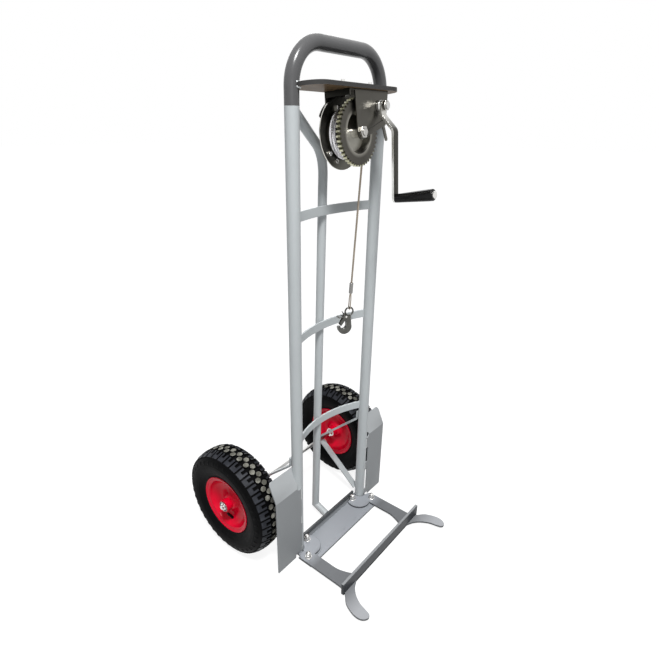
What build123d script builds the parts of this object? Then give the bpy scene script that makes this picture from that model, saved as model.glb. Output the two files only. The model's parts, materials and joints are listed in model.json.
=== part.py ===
from build123d import *
import math
import os

# Carcass cart: a two-wheeled upright cart with a hand winch, hook and toe forks.
# Lengths are in millimetres. X runs across the cart, the forks point to -Y, Z is up.
# The side tubes stand at Y = 0 while modelling; the whole part is then shifted along Y
# so that its origin is under the middle of its box, on the floor.

# Side tubes and handle
TUBE_SPACING = 300.0
TUBE_DIAMETER = 30.0
TUBE_WALL = 2.0
TUBE_TOP_Z = 1156.0
HANDLE_RISE = 112.0
HANDLE_BEND_RADIUS = 80.0
SPIGOT_LENGTH = 60.0
SPIGOT_WALL = 2.5
SPIGOT_CLEARANCE = 0.05

# Crossbars
BAR_HEIGHT = 22.0
BAR_THICKNESS = 5.0
BAR_END_Y = 9.5
UPPER_BAR_DROP = 214.0
MIDDLE_BAR_Z = 651.0
LOWER_BAR_Z = 357.0

# Spine
SPINE_DIAMETER = 22.0
SPINE_WALL = 2.0
SPINE_TOP_Y = 44.5
SPINE_BEND_DROP = 93.0
SPINE_FOOT_Y = 63.0
SPINE_FOOT_Z = 34.0
SPINE_BEND_RADIUS = 80.0
SPINE_ARM_DROP = 4.0
SPINE_SEAT_Z = 13.5

# Base beam and forks, with their widths counted from the side tubes' axes
BASE_THICKNESS = 6.0
BASE_OVERHANG = 22.0
BASE_FRONT_Y = -67.0
UPSTAND_INNER_Y = 11.0
UPSTAND_HEIGHT = 25.0
UPSTAND_INSET = 18.0
FORK_THICKNESS = 6.0
FORK_INSET = 14.0
FORK_OUTSET = 25.0
FORK_REAR_Y = -20.0
FORK_CORNER_RADIUS = 14.0
FORK_REACH = 282.0
FORK_TIP_OUTSET = 50.0
FORK_TIP_RADIUS = 20.0
FLARE_WIDTH = 15.0
FLARE_LENGTH = 44.0
FLARE_SEAT = 14.0
FLARE_LEAD = 2.0
FLARE_BOW = 7.0
HORN_INNER_BOW = 7.0
HORN_OUTER_BOW = 7.5
HORN_START = 10.0
PAD_INSET = 24.0
PAD_CENTRE_Y = -14.0
PAD_RADIUS = 38.0
PAD_TUBE_CLEARANCE = 1.5
PAD_REAR_GAP = 0.5
FORK_BAR_FRONT_Y = -194.0
FORK_BAR_THICKNESS = 8.0
FORK_BAR_HEIGHT = 24.5
FORK_BAR_OVERHANG = 37.5
FORK_BAR_CORNER = 8.0
REAR_BOLT_INSET = 38.0
REAR_BOLT_Y = 0.0
FRONT_BOLT_OUTSET = 7.0
FRONT_BOLT_Y = -44.0
BOLT_DIAMETER = 10.0
BOLT_HOLE_CLEARANCE = 0.25
BOLT_HEAD_DIAMETER = 16.0
BOLT_HEAD_DEPTH = 4.0
BOLT_END = 7.0
BOLT_CHAMFER = 1.2
NUT_ACROSS_FLATS = 16.0
NUT_HEIGHT = 8.0
NUT_FLANGE_DIAMETER = 20.0
NUT_FLANGE_HEIGHT = 2.0

# Axle, brackets and guards
AXLE_DIAMETER = 12.0
AXLE_STUB = 4.7
BRACKET_WIDTH = 20.0
BRACKET_THICKNESS = 5.0
BRACKET_TAB_TOP_Z = 326.0
BRACKET_TOP_Z = 300.0
BRACKET_FOOT_Z = 30.0
BRACKET_BEND_RADIUS = 12.0
GUARD_THICKNESS = 3.0
GUARD_WIDTH = 96.0
GUARD_BOTTOM_Z = 3.0
GUARD_BEND_Z = 245.0
GUARD_FLAP_BACK = 25.0
GUARD_FLAP_RISE = 55.0
GUARD_CORNER_RADIUS = 12.0
GUARD_RELIEF_RADIUS = 9.0
GUARD_FOOT_GAP = 1.0
GUARD_SLIT_WIDTH = 15.0
GUARD_LOW_SLIT_Z = 33.0
GUARD_LOW_SLIT_LENGTH = 79.0
GUARD_HIGH_SLIT_Z = 141.0
GUARD_HIGH_SLIT_LENGTH = 56.0

# Wheels
TYRE_RADIUS = 158.0
TYRE_WIDTH = 96.0
TYRE_GUARD_GAP = 16.0
WHEEL_OUTSET = 85.5
TREAD_BLOCKS = 22
TREAD_DEPTH = 6.0
TREAD_SLOT = 9.0
RIB_HALF_WIDTH = 8.0
GROOVE_FLARE = 2.0
GROOVE_FLOOR = 4.0
CROWN_DROP = 0.6
CROWN_INSET = 15.0
CROWN_EDGE_DROP = 5.0
SHOULDER_INSET = 6.0
SHOULDER_DROP = 14.0
SIDEWALL_RISE = 34.0
TYRE_WALL = 8.0
TYRE_CROWN = 18.0
BEAD_DROP = 12.0
BEAD_THICKNESS = 6.0
BEAD_LIP = 1.0
BEAD_HEEL = 2.4
BEAD_CLEARANCE = 0.2
RIM_RADIUS = 86.0
RIM_WIDTH = 74.0
RIM_WALL = 3.0
SEAT_WIDTH = 10.0
WELL_DEPTH = 8.0
WELL_SLOPE = 4.0
DISC_THICKNESS = 4.0
DISC_ROOT = 6.0
DISC_WAIST = 9.0
DISC_WAIST_DROP = 19.0
DISC_EYE_X = 22.0
DISC_EYE_RISE = 10.0
DISC_HUB_X = 24.0
HUB_RADIUS = 17.0
HUB_LENGTH = 84.0
BEARING_RADIUS = 14.0
BEARING_WIDTH = 8.0
BEARING_STEP = 2.0
RUNNING_CLEARANCE = 0.05
WASHER_RADIUS = 15.0
WASHER_THICKNESS = 2.5
END_GAP = 0.3
PIN_DIAMETER = 3.0
PIN_LENGTH = 24.0
COLLAR_ACROSS_FLATS = 20.0
COLLAR_WIDTH = 8.0
VALVE_DIAMETER = 8.0
VALVE_LENGTH = 26.0
VALVE_CAP_LENGTH = 6.5
VALVE_CAP_STEP = 1.0
VALVE_X = 12.0
VALVE_WAY = (0.5, 0.15, 0.85)

# Winch shelf, which leans with the winch about its lower front edge
WINCH_TILT = 5.0
SHELF_RISE = 44.0
SHELF_THICKNESS = 8.0
SHELF_OVERHANG = 2.0
SHELF_FRONT_Y = -62.0
SHELF_BACK_Y = 20.0
SHELF_CORNER = 40.0
SHELF_REAR_CORNER = 12.0

# Winch, in its own frame before it leans
DRUM_X = 3.0
DRUM_DROP = 81.2
GEAR_MODULE = 3.0
GEAR_TEETH = 44
PINION_TEETH = 10
PRESSURE_ANGLE = 20.0
GEAR_BACKLASH = 0.7
GEAR_TIP_RADIUS = 67.6
PINION_TIP_RADIUS = 17.6
TOOTH_CLEARANCE = 0.8
MESH_ANGLE = 38.5
SHEET = 3.0
PLATE_FRONT_Y = -51.0
PLATE_BACK_Y = 14.0
PLATE_LEFT_X = -18.0
PLATE_RIGHT_X = 103.6
PLATE_NOSE_RADIUS = 14.0
PLATE_SHOULDER_INSET = 10.0
PLATE_SHOULDER_DROP = 67.4
REAR_PLATE_RADIUS = 71.0
REAR_PLATE_ANGLE = 150.0
WEB_LEFT_X = -36.0
LIP_HEIGHT = 12.0
GEAR_FACE = 10.0
GEAR_FRONT_Y = -43.4
DISH_RADIUS = 42.0
DISH_TAPER = 6.0
DISH_WALL = 5.0
DISH_DEPTH = 15.0
DISH_WEB = 4.0
FLANGE_RADIUS = 73.0
FLANGE_FRONT_Y = 3.0
FLANGE_THICKNESS = 3.0
SHAFT_DIAMETER = 14.0
SHAFT_CHAMFER = 1.2
SHAFT_NUT_FLATS = 22.0
SHAFT_NUT_HEIGHT = 7.0
SHAFT_END = 3.0
SPACER_RADIUS = 10.5
ROPE_DIAMETER = 5.0
WINDING_RADIUS = 50.0
WINDING_PITCH = 6.4
WINDING_TURNS = 3.25
WINDING_SEAT = 0.2
WINDING_FLANGE_GAP = 0.5
CLAMP_BLOCK = 12.0
CLAMP_MARGIN = 0.2
CLAMP_BOLT_INSET = 14.5
CLAMP_BOLT_FLATS = 9.0
CLAMP_BOLT_HEIGHT = 4.0
CLAMP_BOLT_ANGLES = (220.0, 246.0)
WINCH_BOLT_DIAMETER = 8.0
WINCH_BOLT_FLATS = 12.8
WINCH_BOLT_HEAD = 5.2
WINCH_BOLT_END = 11.0
WINCH_NUT_HEIGHT = 6.4
WINCH_BOLTS = ((-22.0, -24.0), (74.5, -24.0), (26.0, 2.0))
CRANK_SHAFT_DIAMETER = 14.0
PINION_FACE = 11.2
RATCHET_TEETH = 12
RATCHET_RADIUS = 18.0
RATCHET_DEPTH = 3.5
RATCHET_THICKNESS = 3.0
RATCHET_GAP = 0.8
PAWL_ASIDE = 18.6
PAWL_DROP = 24.2
PAWL_PIN_DIAMETER = 6.0
PAWL_PIN_COLLAR = 2.0
PAWL_PIN_HEAD = 3.0
PAWL_HUB_RADIUS = 8.0
PAWL_NOSE_GAP = 0.8
PAWL_NOSE_WIDTH = 4.0
PAWL_TAIL_LENGTH = 44.0
PAWL_TAIL_WIDTH = 8.0
PAWL_TAIL_ANGLE = -67.0
PAWL_SIDE_GAP = 0.3

# Crank
CRANK_RADIUS = 190.0
CRANK_WIDTH = 18.0
CRANK_THICKNESS = 6.0
CRANK_FACE_Y = -58.5
CRANK_TOP_RISE = 2.0
CRANK_HUB_DROP = 18.0
CRANK_BEND_DROP = 32.0
CRANK_OFFSET = 30.0
CRANK_BEND_RADIUS = 14.0
CRANK_BOSS_RADIUS = 12.0
CRANK_NUT_FLATS = 19.0
CRANK_NUT_HEIGHT = 8.0
GRIP_TILT = 4.5
GRIP_LENGTH = 92.0
GRIP_TAPER_LENGTH = 79.0
GRIP_ROOT_RADIUS = 9.5
GRIP_ROOT_GAP = 1.2
GRIP_END_RADIUS = 12.5
GRIP_END_ROUND = 3.0
GRIP_PIN_DIAMETER = 8.0
GRIP_PIN_HEAD_RADIUS = 8.0
GRIP_PIN_HEAD = 2.5
GRIP_END_GAP = 0.4

# Hoist rope and hook, with the hook's places counted from the middle of its eye
HOOK_X = 44.0
HOOK_Y = -10.0
HOOK_TURN = 30.0
EYE_Z = 687.0
EYE_RADIUS = 8.5
EYE_WIRE = 4.5
FERRULE_RADIUS = 5.0
FERRULE_LENGTH = 28.0
FERRULE_RISE = 77.0
FERRULE_ROUND = 1.2
LOOP_WIRE = 3.0
LOOP_HALF_WIDTH = 4.9
LOOP_SHOULDER = 15.0
LINK_GAP = 0.4
HOOK_THICKNESS = 10.0
SHANK_LEFT = 8.5
SHANK_RIGHT = 3.0
SHANK_TOP = 9.5
BOWL_SHIFT = 12.5
BOWL_DROP = 41.0
BOWL_RADIUS = 19.0
THROAT_SHIFT = 3.8
THROAT_RISE = 3.4
THROAT_RADIUS = 8.0
LATCH_SHIFT = 10.5
LATCH_DROP = 11.2
LATCH_LUG_RADIUS = 4.0
LATCH_EAR_RADIUS = 4.5
LATCH_PIN_DIAMETER = 3.0
LATCH_PIN_HEAD = 1.0
LATCH_SHEET = 1.5
LATCH_GAP = 0.4
TONGUE_LENGTH = 27.6
TONGUE_ANGLE = 239.0
SPUR_LENGTH = 13.0
SPUR_ANGLE = 122.0
FINGER_LENGTH = 19.5
FINGER_ANGLE = 183.0
FINGER_WIDTH = 2.0

# Sizes that follow from the ones above
TUBE_X = TUBE_SPACING / 2
TUBE_RADIUS = TUBE_DIAMETER / 2
HANDLE_TOP_Z = TUBE_TOP_Z + HANDLE_RISE
UPPER_BAR_Z = TUBE_TOP_Z - UPPER_BAR_DROP
SPINE_RADIUS = SPINE_DIAMETER / 2
SPINE_BEND_Z = TUBE_TOP_Z - SPINE_BEND_DROP
SPINE_ARM_Z = TUBE_TOP_Z - SPINE_ARM_DROP
BASE_HALF_WIDTH = TUBE_X + BASE_OVERHANG
UPSTAND_HALF_WIDTH = TUBE_X - UPSTAND_INSET
FORK_INNER_X = TUBE_X - FORK_INSET
FORK_OUTER_X = TUBE_X + FORK_OUTSET
FORK_TIP_X = TUBE_X + FORK_TIP_OUTSET
PAD_CENTRE_X = TUBE_X - PAD_INSET
FORK_BAR_HALF_LENGTH = TUBE_X + FORK_BAR_OVERHANG
REAR_BOLT_X = TUBE_X - REAR_BOLT_INSET
FRONT_BOLT_X = TUBE_X + FRONT_BOLT_OUTSET
FORK_Z = BASE_THICKNESS + FORK_THICKNESS
GUARD_OUTER_X = TUBE_X + GUARD_WIDTH
AXLE_RADIUS = AXLE_DIAMETER / 2
AXLE_Y = TYRE_RADIUS + TYRE_GUARD_GAP + GUARD_THICKNESS - TUBE_RADIUS
AXLE_Z = TYRE_RADIUS
WHEEL_X = TUBE_X + WHEEL_OUTSET
WASHER_X = WHEEL_X + HUB_LENGTH / 2 + END_GAP
PIN_X = WASHER_X + WASHER_THICKNESS + PIN_DIAMETER / 2
AXLE_END_X = PIN_X + AXLE_STUB
SHELF_HALF_WIDTH = TUBE_X + SHELF_OVERHANG
SHELF_TOP_Z = TUBE_TOP_Z + SHELF_RISE
SHELF_Z = SHELF_TOP_Z - SHELF_THICKNESS
DRUM_Z = SHELF_Z - DRUM_DROP
ROPE_RADIUS = ROPE_DIAMETER / 2
CORE_RADIUS = WINDING_RADIUS - ROPE_RADIUS - WINDING_SEAT
WINDING_START_Y = FLANGE_FRONT_Y - ROPE_RADIUS - WINDING_FLANGE_GAP
WINDING_END_Y = WINDING_START_Y - WINDING_PITCH * WINDING_TURNS
GEAR_PITCH_RADIUS = GEAR_MODULE * GEAR_TEETH / 2
PINION_PITCH_RADIUS = GEAR_MODULE * PINION_TEETH / 2
CENTRE_DISTANCE = GEAR_PITCH_RADIUS + PINION_PITCH_RADIUS
CRANK_X = DRUM_X + CENTRE_DISTANCE * math.cos(math.radians(MESH_ANGLE))
CRANK_Z = DRUM_Z + CENTRE_DISTANCE * math.sin(math.radians(MESH_ANGLE))
PAWL_X = CRANK_X + PAWL_ASIDE
PAWL_Z = CRANK_Z - PAWL_DROP
GEAR_BACK_Y = GEAR_FRONT_Y + DISH_DEPTH + DISH_WEB
RATCHET_FRONT_Y = PLATE_FRONT_Y + SHEET + RATCHET_GAP
RATCHET_BACK_Y = RATCHET_FRONT_Y + RATCHET_THICKNESS
Y_SHIFT = -(AXLE_Y + TYRE_RADIUS - FORK_REACH) / 2


# Shared helpers
def at_y(y):
    """A plane facing the front at depth y, with X across and Z up."""
    return Plane((0, y, 0), x_dir=(1, 0, 0), z_dir=(0, -1, 0))


def at_x(x):
    """A plane facing +X, with Y across and Z up."""
    return Plane((x, 0, 0), x_dir=(0, 1, 0), z_dir=(1, 0, 0))


def rod_x(x0, x1, radius, y=AXLE_Y, z=AXLE_Z):
    """A round bar along X."""
    return extrude(at_x(x0) * Pos(y, z) * Circle(radius), amount=x1 - x0)


def rod_y(y0, y1, radius, x, z):
    """A round bar along Y, from y0 back to y1."""
    return extrude(at_y(y1) * Pos(x, z) * Circle(radius), amount=y1 - y0)


def rod_z(z0, z1, radius, x, y):
    """A round bar along Z."""
    return extrude(Pos(x, y, z0) * Circle(radius), amount=z1 - z0)


def plate_y(sketch, y0, y1):
    """A sketch drawn in X and Z, as a plate from y0 back to y1."""
    return extrude(at_y(y1) * sketch, amount=y1 - y0)


def hexagon(flats):
    return RegularPolygon(flats / math.sqrt(3), 6)


def mirrored(shape):
    """The same piece on the other side of the cart."""
    return mirror(shape, about=Plane.YZ)


def tube_bar(side, extra=0.0):
    """The solid bar that a side tube takes up, for notches and fish-mouth cuts."""
    return rod_z(-1, HANDLE_TOP_Z, TUBE_RADIUS + extra, side * TUBE_X, 0)


def winch_place():
    """The lean of the shelf and the winch about the shelf's lower front edge."""
    edge = Pos(0, SHELF_FRONT_Y, SHELF_Z)
    return edge * Rot(-WINCH_TILT, 0, 0) * edge.inverse()


def leaning(shape):
    """A piece of the winch, or a list of pieces, set in its lean."""
    if isinstance(shape, list):
        return [winch_place() * piece for piece in shape]
    return winch_place() * shape


def largest(shape):
    """The one solid that stays after a cut has freed small scraps."""
    return max(shape.solids(), key=lambda solid: solid.volume)


def swept_tube(path, radius, wall):
    """A hollow tube along a path."""
    start = Plane(origin=path @ 0, z_dir=path % 0)
    return sweep(start * (Circle(radius) - Circle(radius - wall)), path=path)


# Tubular frame
def side_tube(side):
    tube = rod_z(BASE_THICKNESS, TUBE_TOP_Z, TUBE_RADIUS, side * TUBE_X, 0)
    return tube - rod_z(BASE_THICKNESS, TUBE_TOP_Z, TUBE_RADIUS - TUBE_WALL, side * TUBE_X, 0)


def handle_path():
    return FilletPolyline(
        (-TUBE_X, 0, TUBE_TOP_Z),
        (-TUBE_X, 0, HANDLE_TOP_Z),
        (TUBE_X, 0, HANDLE_TOP_Z),
        (TUBE_X, 0, TUBE_TOP_Z),
        radius=HANDLE_BEND_RADIUS,
    )


def handle_arch():
    return swept_tube(handle_path(), TUBE_RADIUS, TUBE_WALL)


def handle_bar():
    """The solid bar that the handle takes up, for cutting the shelf round it."""
    path = handle_path()
    return sweep(Plane(origin=path @ 0, z_dir=path % 0) * Circle(TUBE_RADIUS), path=path)


def handle_spigots():
    """Sleeves inside the joints between the side tubes and the handle."""
    radius = TUBE_RADIUS - TUBE_WALL - SPIGOT_CLEARANCE
    bottom = TUBE_TOP_Z - SPIGOT_LENGTH / 2
    top = min(TUBE_TOP_Z + SPIGOT_LENGTH / 2, HANDLE_TOP_Z - HANDLE_BEND_RADIUS)
    sleeve = rod_z(bottom, top, radius, TUBE_X, 0) - rod_z(bottom, top, radius - SPIGOT_WALL, TUBE_X, 0)
    return [sleeve, mirrored(sleeve)]


def spine_y(z):
    """Depth of the spine's centre line at a height."""
    slope = (SPINE_FOOT_Y - SPINE_TOP_Y) / (SPINE_BEND_Z - SPINE_FOOT_Z)
    return SPINE_TOP_Y + slope * (SPINE_BEND_Z - z)


def crossbar(z):
    """A flat bar bowed back from the side tubes to the front of the spine."""
    middle = spine_y(z) - SPINE_RADIUS - BAR_THICKNESS / 2
    end = TUBE_X - TUBE_RADIUS
    bow = middle - BAR_END_Y
    radius = (end ** 2 + bow ** 2) / (2 * bow)
    centre = Pos(0, middle - radius)
    ring = centre * (Circle(radius + BAR_THICKNESS / 2) - Circle(radius - BAR_THICKNESS / 2))
    reach = Pos(0, middle) * Rectangle(2 * TUBE_X, 4 * bow)
    bar = extrude(Pos(0, 0, z - BAR_HEIGHT / 2) * (ring & reach), amount=BAR_HEIGHT)
    bar = bar - tube_bar(-1) - tube_bar(1)
    bar = bar - spine_bar()
    return largest(bar)


def spine_path():
    return FilletPolyline(
        (0, SPINE_FOOT_Y, SPINE_FOOT_Z),
        (0, SPINE_TOP_Y, SPINE_BEND_Z),
        (-TUBE_X, 0, SPINE_ARM_Z),
        radius=SPINE_BEND_RADIUS,
    )


def spine_bar():
    """The straight bar that the spine takes up, for cutting what touches it."""
    foot = Vector(0, SPINE_FOOT_Y, SPINE_FOOT_Z)
    top = Vector(0, SPINE_TOP_Y, SPINE_BEND_Z)
    return extrude(Plane(origin=foot, z_dir=top - foot) * Circle(SPINE_RADIUS), amount=(top - foot).length)


def mitre_plane():
    """The plane where the spine and its foot meet."""
    corner = Vector(0, SPINE_FOOT_Y, SPINE_FOOT_Z)
    up = (Vector(0, SPINE_TOP_Y, SPINE_BEND_Z) - corner).normalized()
    ahead = (Vector(0, UPSTAND_INNER_Y, SPINE_SEAT_Z) - corner).normalized()
    return Plane(origin=corner, x_dir=(1, 0, 0), z_dir=up - ahead)


def half_space(plane, forward):
    """A large block on one side of a plane."""
    size = 8 * SPINE_DIAMETER
    return extrude(plane * Rectangle(size, size), amount=size if forward else -size)


def spine_tube():
    path = spine_path()
    foot = Vector(0, SPINE_FOOT_Y, SPINE_FOOT_Z)
    down = (foot - Vector(0, SPINE_TOP_Y, SPINE_BEND_Z)).normalized()
    ring = Circle(SPINE_RADIUS) - Circle(SPINE_RADIUS - SPINE_WALL)
    lead = extrude(Plane(origin=foot, z_dir=down) * ring, amount=SPINE_DIAMETER)
    tube = swept_tube(path, SPINE_RADIUS, SPINE_WALL) + lead
    tube = tube - half_space(mitre_plane(), False)
    tube = tube - tube_bar(-1)
    return largest(tube)


def spine_foot():
    corner = Vector(0, SPINE_FOOT_Y, SPINE_FOOT_Z)
    back = UPSTAND_INNER_Y + BASE_THICKNESS
    ahead = (Vector(0, UPSTAND_INNER_Y, SPINE_SEAT_Z) - corner).normalized()
    ring = Circle(SPINE_RADIUS) - Circle(SPINE_RADIUS - SPINE_WALL)
    start = Plane(origin=corner - ahead * SPINE_DIAMETER, z_dir=ahead)
    tube = extrude(start * ring, amount=SPINE_FOOT_Y + SPINE_DIAMETER)
    tube = tube - half_space(mitre_plane(), True)
    reach = Pos(0, back - 4 * SPINE_DIAMETER, 0) * Box(8 * SPINE_DIAMETER, 8 * SPINE_DIAMETER, 8 * SPINE_DIAMETER)
    tube = tube - reach
    floor = Pos(0, 0, -4 * SPINE_DIAMETER) * Box(400, 400, 8 * SPINE_DIAMETER)
    tube = tube - floor
    return largest(tube)


def winch_shelf():
    """A thick plate between the handle's legs, rounded at the front corners and leaning."""
    depth = SHELF_BACK_Y - SHELF_FRONT_Y
    outline = Pos(0, SHELF_FRONT_Y + depth / 2) * Rectangle(2 * SHELF_HALF_WIDTH, depth)
    front = outline.vertices().group_by(Axis.Y)[0]
    outline = fillet(front, SHELF_CORNER)
    back = outline.vertices().group_by(Axis.Y)[-1]
    outline = fillet(back, SHELF_REAR_CORNER)
    shelf = extrude(Pos(0, 0, SHELF_Z) * outline, amount=SHELF_THICKNESS)
    for x, y in WINCH_BOLTS:
        shelf = shelf - rod_z(SHELF_Z, SHELF_TOP_Z, WINCH_BOLT_DIAMETER / 2 + BOLT_HOLE_CLEARANCE, x, y)
    return largest(leaning(shelf) - handle_bar())


# Base beam and forks
def bolt_places():
    places = []
    for side in (-1, 1):
        places.append((side * REAR_BOLT_X, REAR_BOLT_Y))
        places.append((side * FRONT_BOLT_X, FRONT_BOLT_Y))
    return places


def bolt_holes(z0, z1):
    radius = BOLT_DIAMETER / 2 + BOLT_HOLE_CLEARANCE
    return [rod_z(z0, z1, radius, x, y) for x, y in bolt_places()]


def countersink(x, y, extra=0.0):
    """The cone under a flush bolt head."""
    head = Cone(BOLT_HEAD_DIAMETER / 2 + extra, BOLT_DIAMETER / 2 + extra, BOLT_HEAD_DEPTH)
    return Pos(x, y, BOLT_HEAD_DEPTH / 2) * head


def base_beam():
    """A plate on the floor with a low upstand along its back."""
    back = UPSTAND_INNER_Y + BASE_THICKNESS
    depth = back - BASE_FRONT_Y
    plate = Pos(0, BASE_FRONT_Y + depth / 2, BASE_THICKNESS / 2) * Box(
        2 * BASE_HALF_WIDTH, depth, BASE_THICKNESS
    )
    corner_depth = back - FORK_REAR_Y
    corner_width = 2 * (BASE_HALF_WIDTH - TUBE_X - TUBE_RADIUS + GUARD_FOOT_GAP)
    for side in (-1, 1):
        corner = Pos(side * BASE_HALF_WIDTH, back - corner_depth / 2, BASE_THICKNESS / 2)
        plate = plate - corner * Box(corner_width, corner_depth, BASE_THICKNESS)
    profile = Polyline(
        (UPSTAND_INNER_Y - BASE_THICKNESS, BASE_THICKNESS),
        (UPSTAND_INNER_Y, 2 * BASE_THICKNESS),
        (UPSTAND_INNER_Y, UPSTAND_HEIGHT),
        (back, UPSTAND_HEIGHT),
        (back, BASE_THICKNESS),
        close=True,
    )
    upstand = extrude(at_x(-UPSTAND_HALF_WIDTH) * make_face(profile), amount=2 * UPSTAND_HALF_WIDTH)
    beam = plate + upstand
    for hole in bolt_holes(0, BASE_THICKNESS):
        beam = beam - hole
    for x, y in bolt_places():
        beam = beam - countersink(x, y, BOLT_HOLE_CLEARANCE)
    return beam


def bowed(start, end, bow):
    """An arc from start to end that bows out by a height, to the right of its way."""
    chord = Vector(*end) - Vector(*start)
    across = Vector(chord.Y, -chord.X).normalized()
    middle = (Vector(*start) + Vector(*end)) * 0.5 + across * bow
    return ThreePointArc(start, (middle.X, middle.Y), end)


def fork():
    """The right fork: a pad notched round the tube's foot, an arm and a splayed horn."""
    flare_x = FORK_INNER_X - FLARE_WIDTH
    bar_back = FORK_BAR_FRONT_Y + FORK_BAR_THICKNESS
    tip_y = -FORK_REACH + FORK_TIP_RADIUS
    corner = FORK_CORNER_RADIUS
    inner_rear = (FORK_INNER_X, FORK_REAR_Y)
    flare_start = (FORK_INNER_X, bar_back + FLARE_SEAT + FLARE_LENGTH)
    flare_seat = (flare_x, bar_back + FLARE_SEAT)
    flare_end = (flare_x, bar_back - FLARE_LEAD)
    horn_start = (FORK_INNER_X, FORK_BAR_FRONT_Y - FLARE_LEAD)
    horn_in = (FORK_TIP_X - FORK_TIP_RADIUS, tip_y)
    horn_out = (FORK_TIP_X + FORK_TIP_RADIUS, tip_y)
    outer_front = (FORK_OUTER_X, bar_back + HORN_START)
    outer_rear = (FORK_OUTER_X, FORK_REAR_Y - corner)
    rear = (FORK_OUTER_X - corner, FORK_REAR_Y)
    edges = [
        Line(inner_rear, flare_start),
        bowed(flare_start, flare_seat, -FLARE_BOW),
        Line(flare_seat, flare_end),
        Line(flare_end, horn_start),
        bowed(horn_start, horn_in, HORN_INNER_BOW),
        ThreePointArc(horn_in, (FORK_TIP_X, -FORK_REACH), horn_out),
        bowed(horn_out, outer_front, -HORN_OUTER_BOW),
        Line(outer_front, outer_rear),
        TangentArc(outer_rear, rear, tangent=(0, 1)),
        Line(rear, inner_rear),
    ]
    outline = make_face(edges)
    pad = Pos(PAD_CENTRE_X, PAD_CENTRE_Y) * Circle(PAD_RADIUS)
    pad_rear = UPSTAND_INNER_Y - BASE_THICKNESS - PAD_REAR_GAP
    behind = Pos(PAD_CENTRE_X, pad_rear + PAD_RADIUS) * Rectangle(4 * PAD_RADIUS, 2 * PAD_RADIUS)
    beside = Pos(TUBE_X + PAD_RADIUS, FORK_REAR_Y + PAD_RADIUS) * Rectangle(2 * PAD_RADIUS, 2 * PAD_RADIUS)
    outline = outline + (pad - behind - beside)
    outline = outline - Pos(TUBE_X, 0) * Circle(TUBE_RADIUS + PAD_TUBE_CLEARANCE)
    plate = extrude(Pos(0, 0, BASE_THICKNESS) * outline, amount=FORK_THICKNESS)
    for hole in bolt_holes(BASE_THICKNESS, FORK_Z):
        plate = plate - hole
    return largest(plate)


def fork_crossbar():
    """A flat bar set on edge across both forks, with its lower ends rounded off."""
    outline = Pos(0, FORK_Z + FORK_BAR_HEIGHT / 2) * Rectangle(2 * FORK_BAR_HALF_LENGTH, FORK_BAR_HEIGHT)
    outline = fillet(outline.vertices().group_by(Axis.Y)[0], FORK_BAR_CORNER)
    return plate_y(outline, FORK_BAR_FRONT_Y, FORK_BAR_FRONT_Y + FORK_BAR_THICKNESS)


def fork_bolts():
    """Flush-headed bolts from under the base beam."""
    top = FORK_Z + NUT_FLANGE_HEIGHT + NUT_HEIGHT + BOLT_END
    bolts = []
    for x, y in bolt_places():
        bolt = rod_z(0, top, BOLT_DIAMETER / 2, x, y) + countersink(x, y)
        bolts.append(chamfer(bolt.edges().group_by(Axis.Z)[-1], BOLT_CHAMFER))
    return bolts


def fork_nuts():
    """Flanged nuts on top of the fork pads."""
    nuts = []
    for x, y in bolt_places():
        flange = rod_z(FORK_Z, FORK_Z + NUT_FLANGE_HEIGHT, NUT_FLANGE_DIAMETER / 2, x, y)
        body = extrude(Pos(x, y, FORK_Z) * hexagon(NUT_ACROSS_FLATS), amount=NUT_FLANGE_HEIGHT + NUT_HEIGHT)
        bore = rod_z(FORK_Z, FORK_Z + NUT_FLANGE_HEIGHT + NUT_HEIGHT, BOLT_DIAMETER / 2, x, y)
        nuts.append(flange + body - bore)
    return nuts


# Axle, brackets and guards
def axle():
    bar = rod_x(-AXLE_END_X, AXLE_END_X, AXLE_RADIUS)
    for side in (-1, 1):
        bar = bar - rod_z(AXLE_Z - AXLE_DIAMETER, AXLE_Z + AXLE_DIAMETER, PIN_DIAMETER / 2, side * PIN_X, AXLE_Y)
    return bar


def axle_washers():
    ring = rod_x(WASHER_X, WASHER_X + WASHER_THICKNESS, WASHER_RADIUS)
    ring = ring - rod_x(WASHER_X, WASHER_X + WASHER_THICKNESS, AXLE_RADIUS + RUNNING_CLEARANCE)
    return [mirrored(ring), ring]


def axle_collars():
    """Hexagon collars that keep the wheels off the brackets."""
    inner = WHEEL_X - HUB_LENGTH / 2 - END_GAP - COLLAR_WIDTH
    body = extrude(at_x(inner) * Pos(AXLE_Y, AXLE_Z) * hexagon(COLLAR_ACROSS_FLATS), amount=COLLAR_WIDTH)
    body = body - rod_x(inner, inner + COLLAR_WIDTH, AXLE_RADIUS)
    return [mirrored(body), body]


def split_pins():
    pin = rod_z(AXLE_Z - PIN_LENGTH / 2, AXLE_Z + PIN_LENGTH / 2, PIN_DIAMETER / 2, PIN_X, AXLE_Y)
    return [mirrored(pin), pin]


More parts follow.
